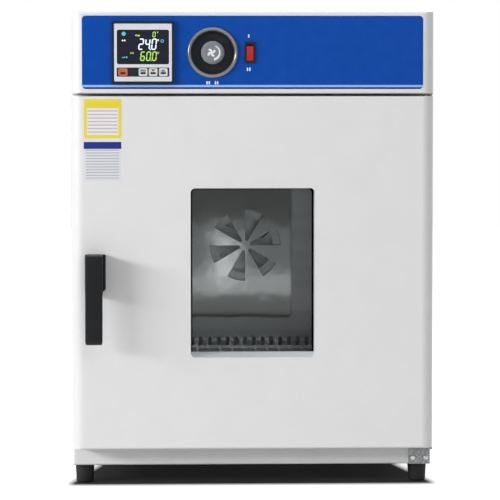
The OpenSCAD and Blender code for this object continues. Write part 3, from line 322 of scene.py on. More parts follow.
# The wheel's grey is darker than bare aluminium: painted shade for the dim duct behind the plate, where the
# wheel is seen through the window.
fan_aluminium = grained("fan_aluminium", (0.40, 0.41, 0.43), (0.52, 0.53, 0.55), (900, 60, 900),
                        0.36, 0.16, 0.00001, Metallic=1.0)
ground_steel = grained("ground_steel", (0.50, 0.50, 0.51), (0.64, 0.64, 0.65), (1800, 60, 1800),
                       0.24, 0.12, 0.000006, Metallic=1.0)
motor_enamel = grained("motor_enamel", (0.055, 0.06, 0.065), (0.09, 0.095, 0.10), (380, 380, 380),
                       0.5, 0.15, 0.00008, Specular_IOR_Level=0.5)


def spangle_group():
    """Zinc spangle: cells of a Voronoi pattern, each with its own random grey between Dark and Light and
    its own roughness about the middle."""
    group = bpy.data.node_groups.new("zinc_spangle", "ShaderNodeTree")
    for name, kind in (("Dark", "Color"), ("Light", "Color"), ("Cells", "Float"), ("Roughness", "Float")):
        group.interface.new_socket(name, in_out="INPUT", socket_type="NodeSocket" + kind)
    for name, kind in (("Color", "Color"), ("Roughness", "Float")):
        group.interface.new_socket(name, in_out="OUTPUT", socket_type="NodeSocket" + kind)
    add, link = tree_of(group)
    given, result = add("NodeGroupInput"), add("NodeGroupOutput")
    place, cells = add("ShaderNodeTexCoord"), add("ShaderNodeTexVoronoi")
    split = add("ShaderNodeSeparateColor")
    link(place.outputs["Object"], cells.inputs["Vector"])
    link(given.outputs["Cells"], cells.inputs["Scale"])
    link(cells.outputs["Color"], split.inputs["Color"])
    link(mixed_color(group, split.outputs["Red"], given.outputs["Dark"], given.outputs["Light"]),
         result.inputs["Color"])
    link(number_math(group, "MULTIPLY_ADD", split.outputs["Green"], 0.18, given.outputs["Roughness"]),
         result.inputs["Roughness"])
    return group


galvanised, tree, shader = new_finish("galvanised", Metallic=0.9)
spangle = tree.nodes.new("ShaderNodeGroup")
spangle.node_tree = spangle_group()
for socket, value in (("Dark", (0.13, 0.14, 0.14, 1)), ("Light", (0.32, 0.33, 0.33, 1)), ("Cells", 620),
                      ("Roughness", 0.36)):
    spangle.inputs[socket].default_value = value
tree.links.new(spangle.outputs["Color"], shader.inputs["Base Color"])
tree.links.new(spangle.outputs["Roughness"], shader.inputs["Roughness"])

coat(heater_sheath, "heater_elements")
coat(fan_aluminium, "fan_impeller")
coat(ground_steel, "fan_shaft", "vent_spindle", "temperature_probe")
coat(motor_enamel, "fan_motor")
coat(galvanised, "motor_bracket", "hinge_bracket_top", "hinge_bracket_bottom", "catch_striker")


# Racks and shelves
# A rack stands at each side wall: upright posts with level runners for the shelves. Racks and shelves are
# welded from drawn stainless wire and electropolished, so they are brighter than the sheet.
drawn_wire = grained("drawn_wire", (0.60, 0.60, 0.61), (0.74, 0.74, 0.75), (500, 500, 500),
                     0.22, 0.12, 0.000008, Metallic=1.0)
coat(drawn_wire, "rack_posts", "rack_rungs", "shelf_upper", "shelf_lower")


# Moulded parts in and behind the header
# Black ABS with a fine spark-eroded texture: controller case, dish of the vent dial, switch frame,
# relay, terminal strip, catch and cable gland.
black_abs = grained("black_abs", (0.0055, 0.0085, 0.0135), (0.011, 0.015, 0.022), (1100, 1100, 1100),
                    0.45, 0.14, 0.00003, Specular_IOR_Level=0.3)
coat(black_abs, "controller_housing", "vent_dish", "switch_frame", "power_relay", "terminal_strip",
     "door_catch", "cable_gland")


# Printed film on the header
# Embossed polyester film, screen printed from behind in deep blue, with a pale and a navy stripe along
# its lower edge. It is stuck into the header and cut out for the three controls.
film_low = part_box("control_overlay")[0]
pale_stripe_top, navy_stripe_top = 0.0061, 0.0026
blue_film = grained("blue_film", (0.0015, 0.061, 0.365), (0.0030, 0.071, 0.395), (1500, 1500, 1500),
                    0.34, 0.08, 0.000008, Specular_IOR_Level=0.12)
tree = blue_film.node_tree
shader = tree.nodes["Principled BSDF"]
printed_color = shader.inputs["Base Color"].links[0].from_socket
place, split = tree.nodes.new("ShaderNodeTexCoord"), tree.nodes.new("ShaderNodeSeparateXYZ")
tree.links.new(place.outputs["Object"], split.inputs[0])
for top, ink in ((pale_stripe_top, (0.305, 0.485, 0.871, 1)), (navy_stripe_top, (0.0, 0.013, 0.141, 1))):
    below = number_math(tree, "LESS_THAN", split.outputs["Z"], film_low.z + top)
    printed_color = mixed_color(tree, below, printed_color, ink)
tree.links.new(printed_color, shader.inputs["Base Color"])
coat(blue_film, "control_overlay")


# Controller
# A square panel controller: pale moulded faceplate in a black bezel, a dark display window with lit
# figures and signs, an orange power key and three white keys on a black strip.
face_plastic = grained("face_plastic", (0.65, 0.68, 0.73), (0.71, 0.74, 0.79), (1200, 1200, 1200),
                       0.40, 0.10, 0.00002, Specular_IOR_Level=0.5)
coat(face_plastic, "controller_faceplate")
display_glass = grained("display_glass", (0.013, 0.0135, 0.026), (0.017, 0.0175, 0.033), (90, 90, 90),
                        0.22, 0.05, 0.000002, Specular_IOR_Level=0.35)
coat(display_glass, "controller_display")
key_orange = grained("key_orange", (0.50, 0.10, 0.035), (0.62, 0.14, 0.05), (900, 900, 900),
                     0.42, 0.10, 0.00002)
key_white = grained("key_white", (0.62, 0.63, 0.66), (0.72, 0.73, 0.76), (900, 900, 900),
                    0.42, 0.10, 0.00002)


def finish_mesh(name, points, faces, finish, body, closed=True, crease=35):
    """A piece from its points and faces. Doubles are merged, a closed shell's faces are turned outwards,
    and edges sharper than crease degrees stay sharp."""
    mesh = bpy.data.meshes.new(name)
    mesh.from_pydata(np.asarray(points, float).reshape(-1, 3).tolist(), [], [list(f) for f in faces])
    shell = bmesh.new()
    shell.from_mesh(mesh)
    bmesh.ops.remove_doubles(shell, verts=shell.verts, dist=1e-6)
    bmesh.ops.dissolve_degenerate(shell, edges=shell.edges, dist=1e-7)
    if closed:
        bmesh.ops.recalc_face_normals(shell, faces=shell.faces)
    shell.to_mesh(mesh)
    shell.free()
    mesh.shade_smooth()
    mesh.set_sharp_from_angle(angle=np.radians(crease))
    mesh.materials.append(finish)
    piece = bpy.data.objects.new(name, mesh)
    bpy.context.scene.collection.objects.link(piece)
    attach(piece, body)
    return piece


def printed(name, shapes, front, finish, body, thick=0.0001):
    """Ink or a lit sign on an upright face. Each shape is an array (polygons, corners, 2) of x and z,
    anticlockwise; all lie at y = front, and Solidify raises them towards the viewer by thick."""
    points, faces, count = [], [], 0
    for shape in shapes:
        flat = np.asarray(shape, float).reshape(-1, 2)
        corners = np.asarray(shape).shape[1]
        points.append(np.column_stack([flat[:, 0], np.full(len(flat), front), flat[:, 1]]))
        faces += (np.arange(len(flat)).reshape(-1, corners) + count).tolist()
        count += len(flat)
    piece = finish_mesh(name, np.vstack(points), faces, finish, body, closed=False)
    piece.data.shade_flat()
    wall = piece.modifiers.new("thickness", "SOLIDIFY")
    wall.thickness, wall.offset = thick, 1
    return piece


def band(middle, radius, start, end, width0, width1, steps=24):
    """Part of a ring about middle: the angle runs from start to end in degrees, and the width goes evenly
    from width0 to width1. Quads between the inner and the outer edge."""
    turn = np.radians(np.linspace(start, end, steps + 1))
    half = np.linspace(width0, width1, steps + 1) / 2
    ray = np.column_stack([np.cos(turn), np.sin(turn)])
    inner, outer = middle + ray * (radius - half)[:, None], middle + ray * (radius + half)[:, None]
    return np.stack([inner[:-1], outer[:-1], outer[1:], inner[1:]], axis=1)


def bars(ends, stroke):
    """A pointed bar for each pair of end points: its sides lie half a stroke off the line, and the points
    lie on the line's ends."""
    ends = np.asarray(ends, float)
    along = ends[:, 1] - ends[:, 0]
    along /= np.linalg.norm(along, axis=1)[:, None]
    side = np.column_stack([-along[:, 1], along[:, 0]]) * stroke / 2
    shy = along * stroke / 2
    a, b = ends[:, 0], ends[:, 1]
    return np.stack([a, a + shy - side, b - shy - side, b, b - shy + side, a + shy + side], axis=1)


def figures(word, left, base, width, height, pitch, stroke, slant):
    """Seven-bar figures side by side. A figure is a ladder of two squares; each lit bar joins two of its
    six corners, shortened a little, and the whole row leans by slant times the height."""
    corners = np.array([[0, 0], [1, 0], [0, 0.5], [1, 0.5], [0, 1], [1, 1]], float)
    joined = {"top": (4, 5), "mid": (2, 3), "low": (0, 1),
              "ul": (2, 4), "ur": (3, 5), "ll": (0, 2), "lr": (1, 3)}
    lit = {"0": "top low ul ur ll lr", "2": "top ur mid ll low", "4": "ul ur mid lr",
           "6": "top ul mid ll lr low"}
    ends = np.array([[corners[i] + (n * pitch / width, 0) for i in joined[bar]]
                     for n, figure in enumerate(word) for bar in lit[figure].split()])
    ends = ends * (width, height)
    ends[:, :, 0] += ends[:, :, 1] * slant
    middle = ends.mean(axis=1, keepdims=True)
    return bars((ends - middle) * 0.98 + middle + (left, base), stroke)


controller_low, controller_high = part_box("controller_housing")
centre = np.array([(controller_low.x + controller_high.x) / 2, (controller_low.z + controller_high.z) / 2])
glass_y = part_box("controller_display")[0].y
mm = 0.001


def at(x, z):
    """A point on the controller's face, in millimetres from its middle."""
    return centre + np.array([x, z]) * mm


def lit_finish(name, tint, strength):
    """A lit sign: it glows in its tint and has a darker skin of the same tint."""
    return new_finish(name, Base_Color=(*[c * 0.3 for c in tint], 1), Roughness=0.4,
                      Emission_Color=(*tint, 1), Emission_Strength=strength)[0]


white_light = lit_finish("white_light", (0.80, 0.90, 1.0), 0.95)
green_light = lit_finish("green_light", (0.40, 0.72, 0.085), 0.9)
cyan_light = lit_finish("cyan_light", (0.09, 0.44, 0.53), 0.95)


def dash(x, z, width, height):
    """A short pointed mark of that width and height whose middle is at x, z on the controller's face."""
    return bars([[at(x - width / 2, z), at(x + width / 2, z)]], height * mm)


def dot(x, z, radius):
    """A full disc whose middle is at x, z on the controller's face."""
    return band(at(x, z), radius / 2 * mm, 0, 360, radius * mm, radius * mm, 16)


left, base = at(-6.6, 5.0)
printed("display_white", [
    figures("240", left, base, 6.1 * mm, 15.6 * mm, 9.9 * mm, 1.95 * mm, 0.11),
    dot(11.3, 4.6, 0.9), band(at(23.4, 19.0), 1.1 * mm, 0, 360, 0.7 * mm, 0.7 * mm, 16),
    dash(-31.2, 18.5, 3.2, 3.2), dash(-27.9, 18.5, 3.2, 3.2),
], glass_y, white_light, "cabinet")
left, base = at(-3.9, -12.0)
printed("display_green", [
    figures("600", left, base, 5.5 * mm, 12.8 * mm, 9.0 * mm, 1.75 * mm, 0.11),
    dot(12.4, -12.3, 0.8), band(at(23.4, -0.4), 1.1 * mm, 0, 360, 0.7 * mm, 0.7 * mm, 16),
    figures("0", *at(15.0, 24.0), 3.6 * mm, 7.4 * mm, 6 * mm, 1.3 * mm, 0.1),
    band(at(22.6, 31.0), 0.9 * mm, 0, 360, 0.6 * mm, 0.6 * mm, 16),
    dash(-10.4, 26.4, 3.2, 3.4), dash(-6.6, 26.0, 4.4, 2.6),
    dash(-18.5, -0.8, 2.6, 3.0), dash(-15.4, -0.8, 2.8, 3.0),
], glass_y, green_light, "cabinet")
printed("display_cyan", [
    dot(-29.5, 28.7, 3.2),
    band(at(29.6, 17.6), 2.0 * mm, 0, 360, 1.1 * mm, 1.1 * mm, 24),
    dash(-31.4, -7.6, 2.2, 1.8), dash(-28.6, -7.4, 3.0, 2.6), dash(-25.0, -7.2, 3.4, 3.2),
], glass_y, cyan_light, "cabinet")

dark_ink = grained("dark_ink", (0.007, 0.007, 0.009), (0.012, 0.012, 0.014), (1200, 1200, 1200),
                   0.5, 0.1, 0.00001)
grey_ink = grained("grey_ink", (0.10, 0.10, 0.12), (0.15, 0.15, 0.17), (1200, 1200, 1200),
                   0.5, 0.1, 0.00001)
white_ink = grained("white_ink", (0.74, 0.76, 0.79), (0.82, 0.83, 0.86), (1200, 1200, 1200),
                    0.45, 0.1, 0.00001)


def blob(x, z, width, height, round_r=0.6):
    """A rounded rectangle of four arcs on the controller's face."""
    turn = np.radians(np.arange(0, 360, 15) + 7.5)
    ray = np.column_stack([np.cos(turn), np.sin(turn)])
    corner = np.array([width, height]) / 2 - round_r
    return (at(x, z) + (np.sign(ray) * corner + ray * round_r) * mm)[None]


def grid_faces(rows, columns, first=0):
    """Quads between neighbouring rows of a grid whose columns close on themselves, and one cap for the
    first and one for the last row."""
    i, j = np.meshgrid(np.arange(rows - 1), np.arange(columns), indexing="ij")
    k = (j + 1) % columns
    quads = np.stack([i * columns + j, i * columns + k, (i + 1) * columns + k, (i + 1) * columns + j],
                     axis=-1)
    caps = [np.arange(columns)[::-1] + first, np.arange(columns) + (rows - 1) * columns + first]
    return (quads.reshape(-1, 4) + first).tolist() + [cap.tolist() for cap in caps]


key_sink = 0.3


def key_cap(node, finish, body):
    """A key with round corners: each row of the grid is the rounded outline, drawn in by an inset at a
    depth behind the front. The rim stands proud and the middle is sunk by key_sink. Returns its box."""
    low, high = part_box(node)
    half = np.array([high.x - low.x, high.z - low.z]) / 2
    middle = np.array([high.x + low.x, high.z + low.z]) / 2
    rows = np.array([[0, (high.y - low.y) / mm], [0, 0.9], [0.1, 0.4], [0.4, 0.1], [0.8, 0], [1.2, 0.05],
                     [1.6, key_sink], [4.5, key_sink]]) * mm
    turn = np.radians(np.arange(0, 360, 7.5) + 3.75)
    ray = np.column_stack([np.cos(turn), np.sin(turn)])
    round_r = np.maximum(2.3 * mm - rows[:, :1], 0.4 * mm)[..., None]
    flat = middle + np.sign(ray) * (half - rows[:, :1, None] - round_r) + ray * round_r
    behind = np.broadcast_to(low.y + rows[:, 1:], flat.shape[:2])
    grid = np.stack([flat[..., 0], behind, flat[..., 1]], axis=-1)
    cap = finish_mesh(node + "_cap", grid, grid_faces(len(rows), len(turn)), finish, body, crease=60)
    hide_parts(node)
    return low, high


for node, body, mark in (("key_power", "power_key", "none"), ("key_set", "set_key", "blocks"),
                         ("key_down", "down_key", "down"), ("key_up", "up_key", "up")):
    if mark == "none":
        low, high = key_cap(node, key_orange, body)
    else:
        low, high = key_cap(node, key_white, body)
    x, z = (np.array([low.x + high.x, low.z + high.z]) / 2 - centre) / mm
    face_y = low.y + key_sink * mm
    printed(node + "_dash", [blob(x, z - 1.6, 8.0, 3.3)], face_y, dark_ink, body)
    if mark == "blocks":
        sign = [blob(x + side, z + 2.4, 2.3, 3.2, 0.4) for side in (-3.0, 0.0, 3.0)]
    elif mark != "none":
        tip = 3.6 if mark == "up" else -3.6
        sign = [np.array([[at(x - 3.6, z + 2.6 - tip / 2), at(x, z + 2.6 + tip / 2),
                           at(x + 3.6, z + 2.6 - tip / 2)][::1 if tip < 0 else -1]])]
    if mark != "none":
        printed(node + "_sign", sign, face_y, grey_ink, body)


# Vent dial
# A grey moulded ring with a half-round section round a black dish. The knob has twelve flat sides and a
# bevelled edge, with a white fan sign and a crescent that widens towards one end.
ring_grey = grained("ring_grey", (0.21, 0.205, 0.195), (0.27, 0.265, 0.25), (700, 700, 700),
                    0.22, 0.08, 0.00001, Metallic=0.45)
knob_grey = grained("knob_grey", (0.19, 0.20, 0.225), (0.235, 0.245, 0.275), (700, 700, 700),
                    0.30, 0.10, 0.00003)
ring_low, ring_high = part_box("vent_ring")
dial = np.array([(ring_low.x + ring_high.x) / 2, (ring_low.z + ring_high.z) / 2])
dish_r, ring_lip, arch_power = 33.2 * mm, 0.5 * mm, 0.8
turn = np.linspace(0, 2 * np.pi, 144, endpoint=False)
arch = np.linspace(0, np.pi, 20)
outer, inner = (ring_high.x - ring_low.x) / 2 + ring_lip, dish_r
# The section runs over the arch from the outer to the inner edge and back along the film.
across = np.concatenate([(outer + inner) / 2 + (outer - inner) / 2 * np.cos(arch), [inner, outer]])
arched = ring_low.y + (ring_high.y - ring_low.y) * (1 - np.sin(arch) ** arch_power)
up = np.concatenate([arched, [ring_high.y] * 2])
grid = np.stack([dial[0] + across[:, None] * np.cos(turn),
                 np.broadcast_to(up[:, None], (len(up), len(turn))),
                 dial[1] + across[:, None] * np.sin(turn)], axis=-1)
i, j = np.meshgrid(np.arange(len(up)), np.arange(len(turn)), indexing="ij")
next_i, next_j = (i + 1) % len(up), (j + 1) % len(turn)
here, beyond = i * len(turn), next_i * len(turn)
quads = np.stack([here + j, here + next_j, beyond + next_j, beyond + j], axis=-1).reshape(-1, 4)
ring = finish_mesh("vent_dial_ring", grid, quads, ring_grey, "cabinet", crease=50)
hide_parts("vent_ring")

knob_low, knob_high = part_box("vent_knob")


def twelve_sided(turn, radius, softness):
    """Distance to the edge of a twelve-sided plate at an angle: the flat's distance over the cosine of
    the angle from that flat's middle, eased towards a circle by softness."""
    step = np.pi / 6
    off = (turn + step / 2) % step - step / 2
    flat = radius * np.cos(step / 2) / np.cos(off)
    return flat * (1 - softness) + radius * softness


depth = knob_high.y - knob_low.y
# The cap's corners lie a little inside the box of the solid that it stands for.
inside_box = 1.035
radius = (knob_high.x - knob_low.x) / 2 / inside_box
# Rows of the knob from its middle out and back: share of the radius, depth in metres, softness.
rows = np.array([[0.02, 0, 0], [0.5, 0, 0], [0.79, 0, 0], [0.805, 0.0001, 0], [0.82, 0.0004, 0],
                 [0.985, 0.0036, 0], [0.997, 0.0040, 0], [1.0, 0.0046, 0], [1.0, depth - 0.0034, 0],
                 [0.985, depth - 0.0032, 0.5], [1.0, depth, 1], [0.30, depth, 1]])
edge = np.stack([twelve_sided(turn, radius, softness) * share for share, behind, softness in rows])
grid = np.stack([dial[0] + edge * np.cos(turn), np.broadcast_to(knob_low.y + rows[:, 1:2], edge.shape),
                 dial[1] + edge * np.sin(turn)], axis=-1)
knob = finish_mesh("vent_knob_cap", grid, grid_faces(len(rows), len(turn)), knob_grey, "vent",
                   crease=12)
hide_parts("vent_knob")

lobes = np.linspace(0, 2 * np.pi, 120, endpoint=False)
petal = 7.2 * mm * (0.24 + 0.76 * np.abs(np.cos(2 * lobes)) ** 1.3)
swirl = lobes + 90 * petal
sign_middle = dial + np.array([-2.0, -0.2]) * mm
fan_sign = sign_middle + np.column_stack([np.cos(swirl), np.sin(swirl)]) * petal[:, None]
printed("vent_knob_sign", [
    fan_sign[None],
    band(dial, 10.6 * mm, -80, 70, 3.7 * mm, 1.3 * mm, 40),
], knob_low.y, white_ink, "vent")
film_y = film_low.y
mark_low, mark_high = -49.4, -43.6
printed("vent_marks", [
    bars([[dial + np.array([x, mark_low]) * mm, dial + np.array([x, mark_high]) * mm]
          for x in (-8.7, -5.3, 4.2, 7.5)], 2.2 * mm),
], film_y, white_ink, "cabinet")


# Rocker switch
# A snap-in mains switch: black frame, and a glossy red rocker that tips on two pins. One bar over it and
# two below it are printed on the film, one mark for each state.
rocker_red = grained("rocker_red", (0.46, 0.014, 0.012), (0.56, 0.019, 0.016), (600, 600, 600),
                     0.32, 0.06, 0.00001, Specular_IOR_Level=0.3)
coat(rocker_red, "switch_rocker")
switch_low, switch_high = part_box("switch_frame")
switch = np.array([(switch_low.x + switch_high.x) / 2, (switch_low.z + switch_high.z) / 2])
up, down, half = np.array([-2.0, 25.4]) * mm, np.array([-2.0, -25.6]) * mm, np.array([0, 3.0]) * mm
apart = np.array([1.8, 0]) * mm
printed("switch_marks", [
    bars([[switch + up - half, switch + up + half],
          [switch + down - apart - half, switch + down - apart + half],
          [switch + down + apart - half, switch + down + apart + half]], 2.1 * mm),
], film_y, white_ink, "cabinet")


# Door
# The skin carries a window of two panes in a steel frame with a sloping sill, with a black spacer
# between the panes. Behind it lie the wool, the liner and a silicone gasket.
window_trim = grained("window_trim", (0.78, 0.82, 0.84), (0.84, 0.88, 0.90), (60, 60, 900),
                      0.34, 0.12, 0.00001)
coat(window_trim, "window_frame")
window_glass = new_finish("window_glass", Base_Color=(0.97, 0.98, 0.975, 1), Roughness=0.0, IOR=1.2,
                          Transmission_Weight=1.0)[0]
coat(window_glass, "window_panes")
seal_black = grained("seal_black", (0.012, 0.012, 0.012), (0.022, 0.022, 0.022), (500, 500, 500),
                     0.6, 0.1, 0.00003)
coat(seal_black, "window_spacer")
silicone_red = grained("silicone_red", (0.36, 0.07, 0.035), (0.46, 0.10, 0.05), (400, 400, 400),
                       0.55, 0.1, 0.00004, Subsurface_Weight=0.1)
coat(silicone_red, "door_gasket")


# Cards on the door
# Two self-adhesive cards on the door's upper left corner, left blank: one ruled card with a yellow
# border, and one with a blue band along its head.
def card_group():
    """A blank ruled card in a rectangle of x and z. Within Border of the rectangle's edge the colour is
    Edge. Inside that it is Head above Band and Paper below, with level rules that repeat with Pitch and
    keep Inset away from the card's edge."""
    group = bpy.data.node_groups.new("ruled_card", "ShaderNodeTree")
    for name, kind in (("Middle", "Vector"), ("Half Size", "Vector"), ("Border", "Float"),
                       ("Inset", "Float"), ("Band", "Float"), ("Pitch", "Float"), ("Paper", "Color"),
                       ("Edge", "Color"), ("Head", "Color"), ("Rule", "Color")):
        group.interface.new_socket(name, in_out="INPUT", socket_type="NodeSocket" + kind)
    group.interface.new_socket("Color", in_out="OUTPUT", socket_type="NodeSocketColor")
    add, link = tree_of(group)
    given, result = add("NodeGroupInput"), add("NodeGroupOutput")
    place = add("ShaderNodeTexCoord")
    spot, half = add("ShaderNodeSeparateXYZ"), add("ShaderNodeSeparateXYZ")
    rule_share = 0.34
    link(vector_math(group, "SUBTRACT", place.outputs["Object"], given.outputs["Middle"]), spot.inputs[0])
    link(given.outputs["Half Size"], half.inputs[0])
    side_x, side_z = (number_math(group, "SUBTRACT", half.outputs[axis],
                                  number_math(group, "ABSOLUTE", spot.outputs[axis])) for axis in "XZ")
    side = number_math(group, "MINIMUM", side_x, side_z)
    inside = number_math(group, "GREATER_THAN", side, given.outputs["Border"])
    well_in = number_math(group, "GREATER_THAN", side, given.outputs["Inset"])
    rows = number_math(group, "DIVIDE", spot.outputs["Z"], given.outputs["Pitch"])
    row = number_math(group, "FRACT", rows)
    ruled = number_math(group, "MULTIPLY", number_math(group, "LESS_THAN", row, rule_share), well_in)
    in_band = number_math(group, "GREATER_THAN", spot.outputs["Z"], given.outputs["Band"])
    paper = mixed_color(group, ruled, given.outputs["Paper"], given.outputs["Rule"])
    headed = mixed_color(group, in_band, paper, given.outputs["Head"])
    link(mixed_color(group, inside, given.outputs["Edge"], headed), result.inputs["Color"])
    return group


ruled_card = card_group()


def card(name, left, right, low, high, border, inset, band_height, pitch, paper, edge, head, rule):
    """A card with round corners: a rounded rectangle of four arcs, 0.12 mm thick, on the door's skin."""
    finish, tree, shader = new_finish(name, Roughness=0.45, Specular_IOR_Level=0.25)
    face = tree.nodes.new("ShaderNodeGroup")
    face.node_tree = ruled_card
    middle = np.array([(left + right) / 2, (low + high) / 2])
    size = np.array([right - left, high - low]) / 2
    for socket, value in (("Middle", (middle[0], 0, middle[1])), ("Half Size", (size[0], 0, size[1])),
                          ("Border", border), ("Inset", inset), ("Band", size[1] - band_height),
                          ("Pitch", pitch), ("Paper", (*paper, 1)), ("Edge", (*edge, 1)),
                          ("Head", (*head, 1)), ("Rule", (*rule, 1))):
        face.inputs[socket].default_value = value
    tree.links.new(face.outputs["Color"], shader.inputs["Base Color"])
    turn = np.radians(np.arange(0, 360, 7.5) + 3.75)
    ray = np.column_stack([np.cos(turn), np.sin(turn)])
    round_r = 2.2 * mm
    outline = middle + np.sign(ray) * (size - round_r) + ray * round_r
    printed(name, [outline[None]], door_front, finish, "door", thick=0.00012)


card("door_card_yellow", left=-0.2602, right=-0.2022, low=0.5429, high=0.6030,
     border=0.0049, inset=0.0058, band_height=0.0135, pitch=0.0054,
     paper=(0.80, 0.76, 0.77), edge=(0.80, 0.66, 0.05), head=(0.78, 0.64, 0.04), rule=(0.52, 0.47, 0.50))
card("door_card_blue", left=-0.2608, right=-0.2022, low=0.4756, high=0.5376,
     border=0.0004, inset=0.0038, band_height=0.0112, pitch=0.0043,
     paper=(0.70, 0.71, 0.75), edge=(0.78, 0.79, 0.82), head=(0.016, 0.030, 0.22), rule=(0.42, 0.43, 0.47))


# Lever handle
# One black moulding: a plinth on the door with one chamfered corner, an arm that stands out from it, and
# a lever that hangs from the arm's end nearly level with the door. Fingers go behind the lever.
handle_black = grained("handle_black", (0.0085, 0.009, 0.0105), (0.012, 0.0125, 0.0145), (900, 900, 900),
                       0.5, 0.12, 0.00003, Specular_IOR_Level=0.16)
handle_low, handle_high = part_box("door_handle")
plinth_height, plinth_thick, chamfer = 0.0595, 0.012, 0.006
plinth_z = handle_high.z - plinth_height
lever_shift, lever_half = 0.0015, 0.0132
lever_x = (handle_low.x + handle_high.x) / 2 - lever_shift
tip_r, head_r, web_r, corner_r, lever_thick = 0.0065, 0.003, 0.005, 0.002, 0.013
head_out = 0.050
# Heights of the rings: round the tip, up the lever, over the web under the plinth, and round the head.
z = np.concatenate([handle_low.z + tip_r * (1 - np.cos(np.linspace(0.02, np.pi / 2, 12))),
                    np.linspace(handle_low.z + tip_r + 0.002, plinth_z - web_r - 0.002, 16),
                    plinth_z - web_r + web_r * np.sin(np.linspace(0, np.pi / 2, 12)),
                    np.linspace(plinth_z + 0.00005, handle_high.z - head_r - 0.002, 8),
                    handle_high.z - head_r + head_r * np.sin(np.linspace(0, np.pi / 2 - 0.02, 12))])
total_out = door_front - handle_low.y
along = np.clip((z - handle_low.z - tip_r) / (handle_high.z - handle_low.z - tip_r - head_r), 0, 1)
# How far the lever's outer and inner faces stand out from the door at each height
out = total_out + (head_out - total_out) * along
back = out - lever_thick
tip_drop = np.clip(handle_low.z + tip_r - z, 0, tip_r)
tip_in = tip_r - np.sqrt(tip_r ** 2 - tip_drop ** 2)
head_rise = np.clip(z - handle_high.z + head_r, 0, head_r)
head_in = head_r - np.sqrt(head_r ** 2 - head_rise ** 2)
web = np.clip((z - plinth_z + web_r) / web_r, 0, 1)
back = np.where(z > plinth_z, 0, back - web_r * (1 - np.sqrt(1 - web ** 2)))
out, back = out - tip_in - head_in, back + tip_in
half_x = lever_half - np.maximum(tip_in, head_in) * corner_r / tip_r
round_r = np.minimum(corner_r, np.minimum((out - back) / 2, half_x) * 0.98)
turn = np.radians(np.arange(0, 360, 9) + 4.5)
grid = np.stack([
    lever_x + np.sign(np.cos(turn)) * (half_x - round_r)[:, None] + np.cos(turn) * round_r[:, None],
    door_front - ((out + back) / 2)[:, None] + np.sign(np.sin(turn)) * ((out - back) / 2 - round_r)[:, None]
    + np.sin(turn) * round_r[:, None],
    np.broadcast_to(z[:, None], (len(z), len(turn)))], axis=-1)
lever = finish_mesh("handle_lever", grid, grid_faces(len(z), len(turn)), handle_black, "door",
                    crease=50)
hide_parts("door_handle")

left, right = handle_low.x, handle_high.x
plinth_outline = np.array([[left, plinth_z], [right - chamfer, plinth_z], [right, plinth_z + chamfer],
                           [right, handle_high.z], [left, handle_high.z]])
plinth = printed("handle_plinth", [plinth_outline[None]], door_front, handle_black, "door",
                 thick=plinth_thick)
round_edges = plinth.modifiers.new("round_edges", "BEVEL")
round_edges.width, round_edges.segments = 0.0018, 3
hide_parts("door_handle")


# Hinge parts
# The door turns on the pins of two galvanised plates, one above it and one below it. Sintered bronze
# bushes are pressed into the door for them.
bush_bronze = grained("bush_bronze", (0.34, 0.22, 0.10), (0.46, 0.31, 0.15), (900, 900, 900),
                      0.42, 0.15, 0.00002, Metallic=1.0)
coat(bush_bronze, "hinge_bushes")


# Screws
# Zinc-plated pan-head screws with a cross recess: two in the lower hinge plate, one in the upper, eight
# round the rear panel and four in the motor cover.
screw_zinc = grained("screw_zinc", (0.52, 0.53, 0.55), (0.66, 0.67, 0.69), (900, 900, 900),
                     0.28, 0.14, 0.00001, Metallic=1.0)


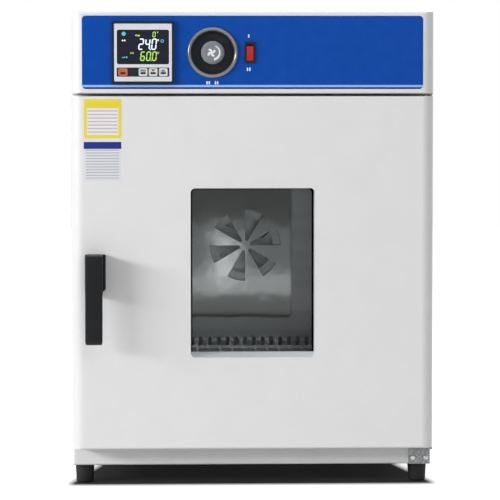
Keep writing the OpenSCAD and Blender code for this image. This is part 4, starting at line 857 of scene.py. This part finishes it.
def pan_screw(place, outward, shank_r, length):
    """A pan-head screw whose head stands on place and looks along outward. The head is a superellipse of
    revolution: radius and height are powers of the sine and cosine of one angle. The recess lowers it
    where either arm of a cross lies. Under the head the profile runs in to the shank and down it."""
    head_r, head_h = 1.9 * shank_r, 1.1 * shank_r
    turn = np.linspace(0, 2 * np.pi, 64, endpoint=False)
    lean = np.linspace(0.05, np.pi / 2, 22)
    across = np.concatenate([head_r * np.sin(lean) ** 0.55, [shank_r, shank_r, 0.05 * shank_r]])
    up = np.concatenate([head_h * np.cos(lean) ** 0.55, [0, -length + shank_r, -length]])
    x, y = across[:, None] * np.cos(turn), across[:, None] * np.sin(turn)
    arm, slot_w = 0.62 * head_r, 0.17 * head_r

    def ease(value, limit):
        return np.clip((limit - np.abs(value)) / (0.3 * slot_w) + 0.5, 0, 1)

    cross = np.maximum(ease(x, arm) * ease(y, slot_w), ease(y, arm) * ease(x, slot_w))
    height = up[:, None] - np.where(up[:, None] > 0, cross * 0.55 * head_h, 0)
    axis = Vector(outward)
    side = axis.orthogonal().normalized()
    third = axis.cross(side)
    return (np.array(place) + x[..., None] * np.array(side) + y[..., None] * np.array(third)
            + height[..., None] * np.array(axis))


shank_r, small_shank_r, shank_long = 0.002, 0.0013, 0.010
plate_thick, plate_screw_z, top_screw_x = 0.002, 0.040, 0.2575
panel_screw_x, panel_screw_low, panel_screw_run = 0.2713, 0.090, 0.572
cover_screw_x, cover_screw_run, flange_thick = 0.101, 0.19, 0.0012
back_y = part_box("rear_panel")[1].y
case_low, case_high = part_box("front_frame")
cover_low, cover_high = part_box("rear_motor_cover")
fan_z = (cover_low.z + cover_high.z) / 2
plate_y, top_plate_z = case_low.y - plate_thick, case_high.z - plate_thick
hinge_y = (door_low.y + door_high.y) / 2
places = [((x, plate_y, plate_screw_z), (0, -1, 0), shank_r, shank_long) for x in (0.2528, 0.2736)]
places.append(((top_screw_x, hinge_y, top_plate_z), (0, 0, -1), small_shank_r, shank_long))
places += [((side * panel_screw_x, back_y, panel_screw_low + row * panel_screw_run / 3), (0, 1, 0),
            shank_r, shank_long)
           for side in (-1, 1) for row in range(4)]
places += [((side * cover_screw_x, back_y + flange_thick, fan_z + end * cover_screw_run / 3), (0, 1, 0),
            shank_r, shank_long)
           for side in (-1, 1) for end in (-1, 1)]
grids = [pan_screw(*spot) for spot in places]
faces = [face for n, grid in enumerate(grids)
         for face in grid_faces(*grid.shape[:2], first=n * grid.shape[0] * grid.shape[1])]
screws = finish_mesh("cross_head_screws", np.stack(grids), faces, screw_zinc, "cabinet",
                     crease=60)
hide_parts("case_screws")


# Feet
# Four tapered feet of black rubber stand under the base pan's corners and are screwed to it from inside.
foot_rubber = grained("foot_rubber", (0.012, 0.012, 0.013), (0.026, 0.026, 0.027), (420, 420, 420),
                      0.7, 0.15, 0.00008, Specular_IOR_Level=0.3)
coat(foot_rubber, "feet")
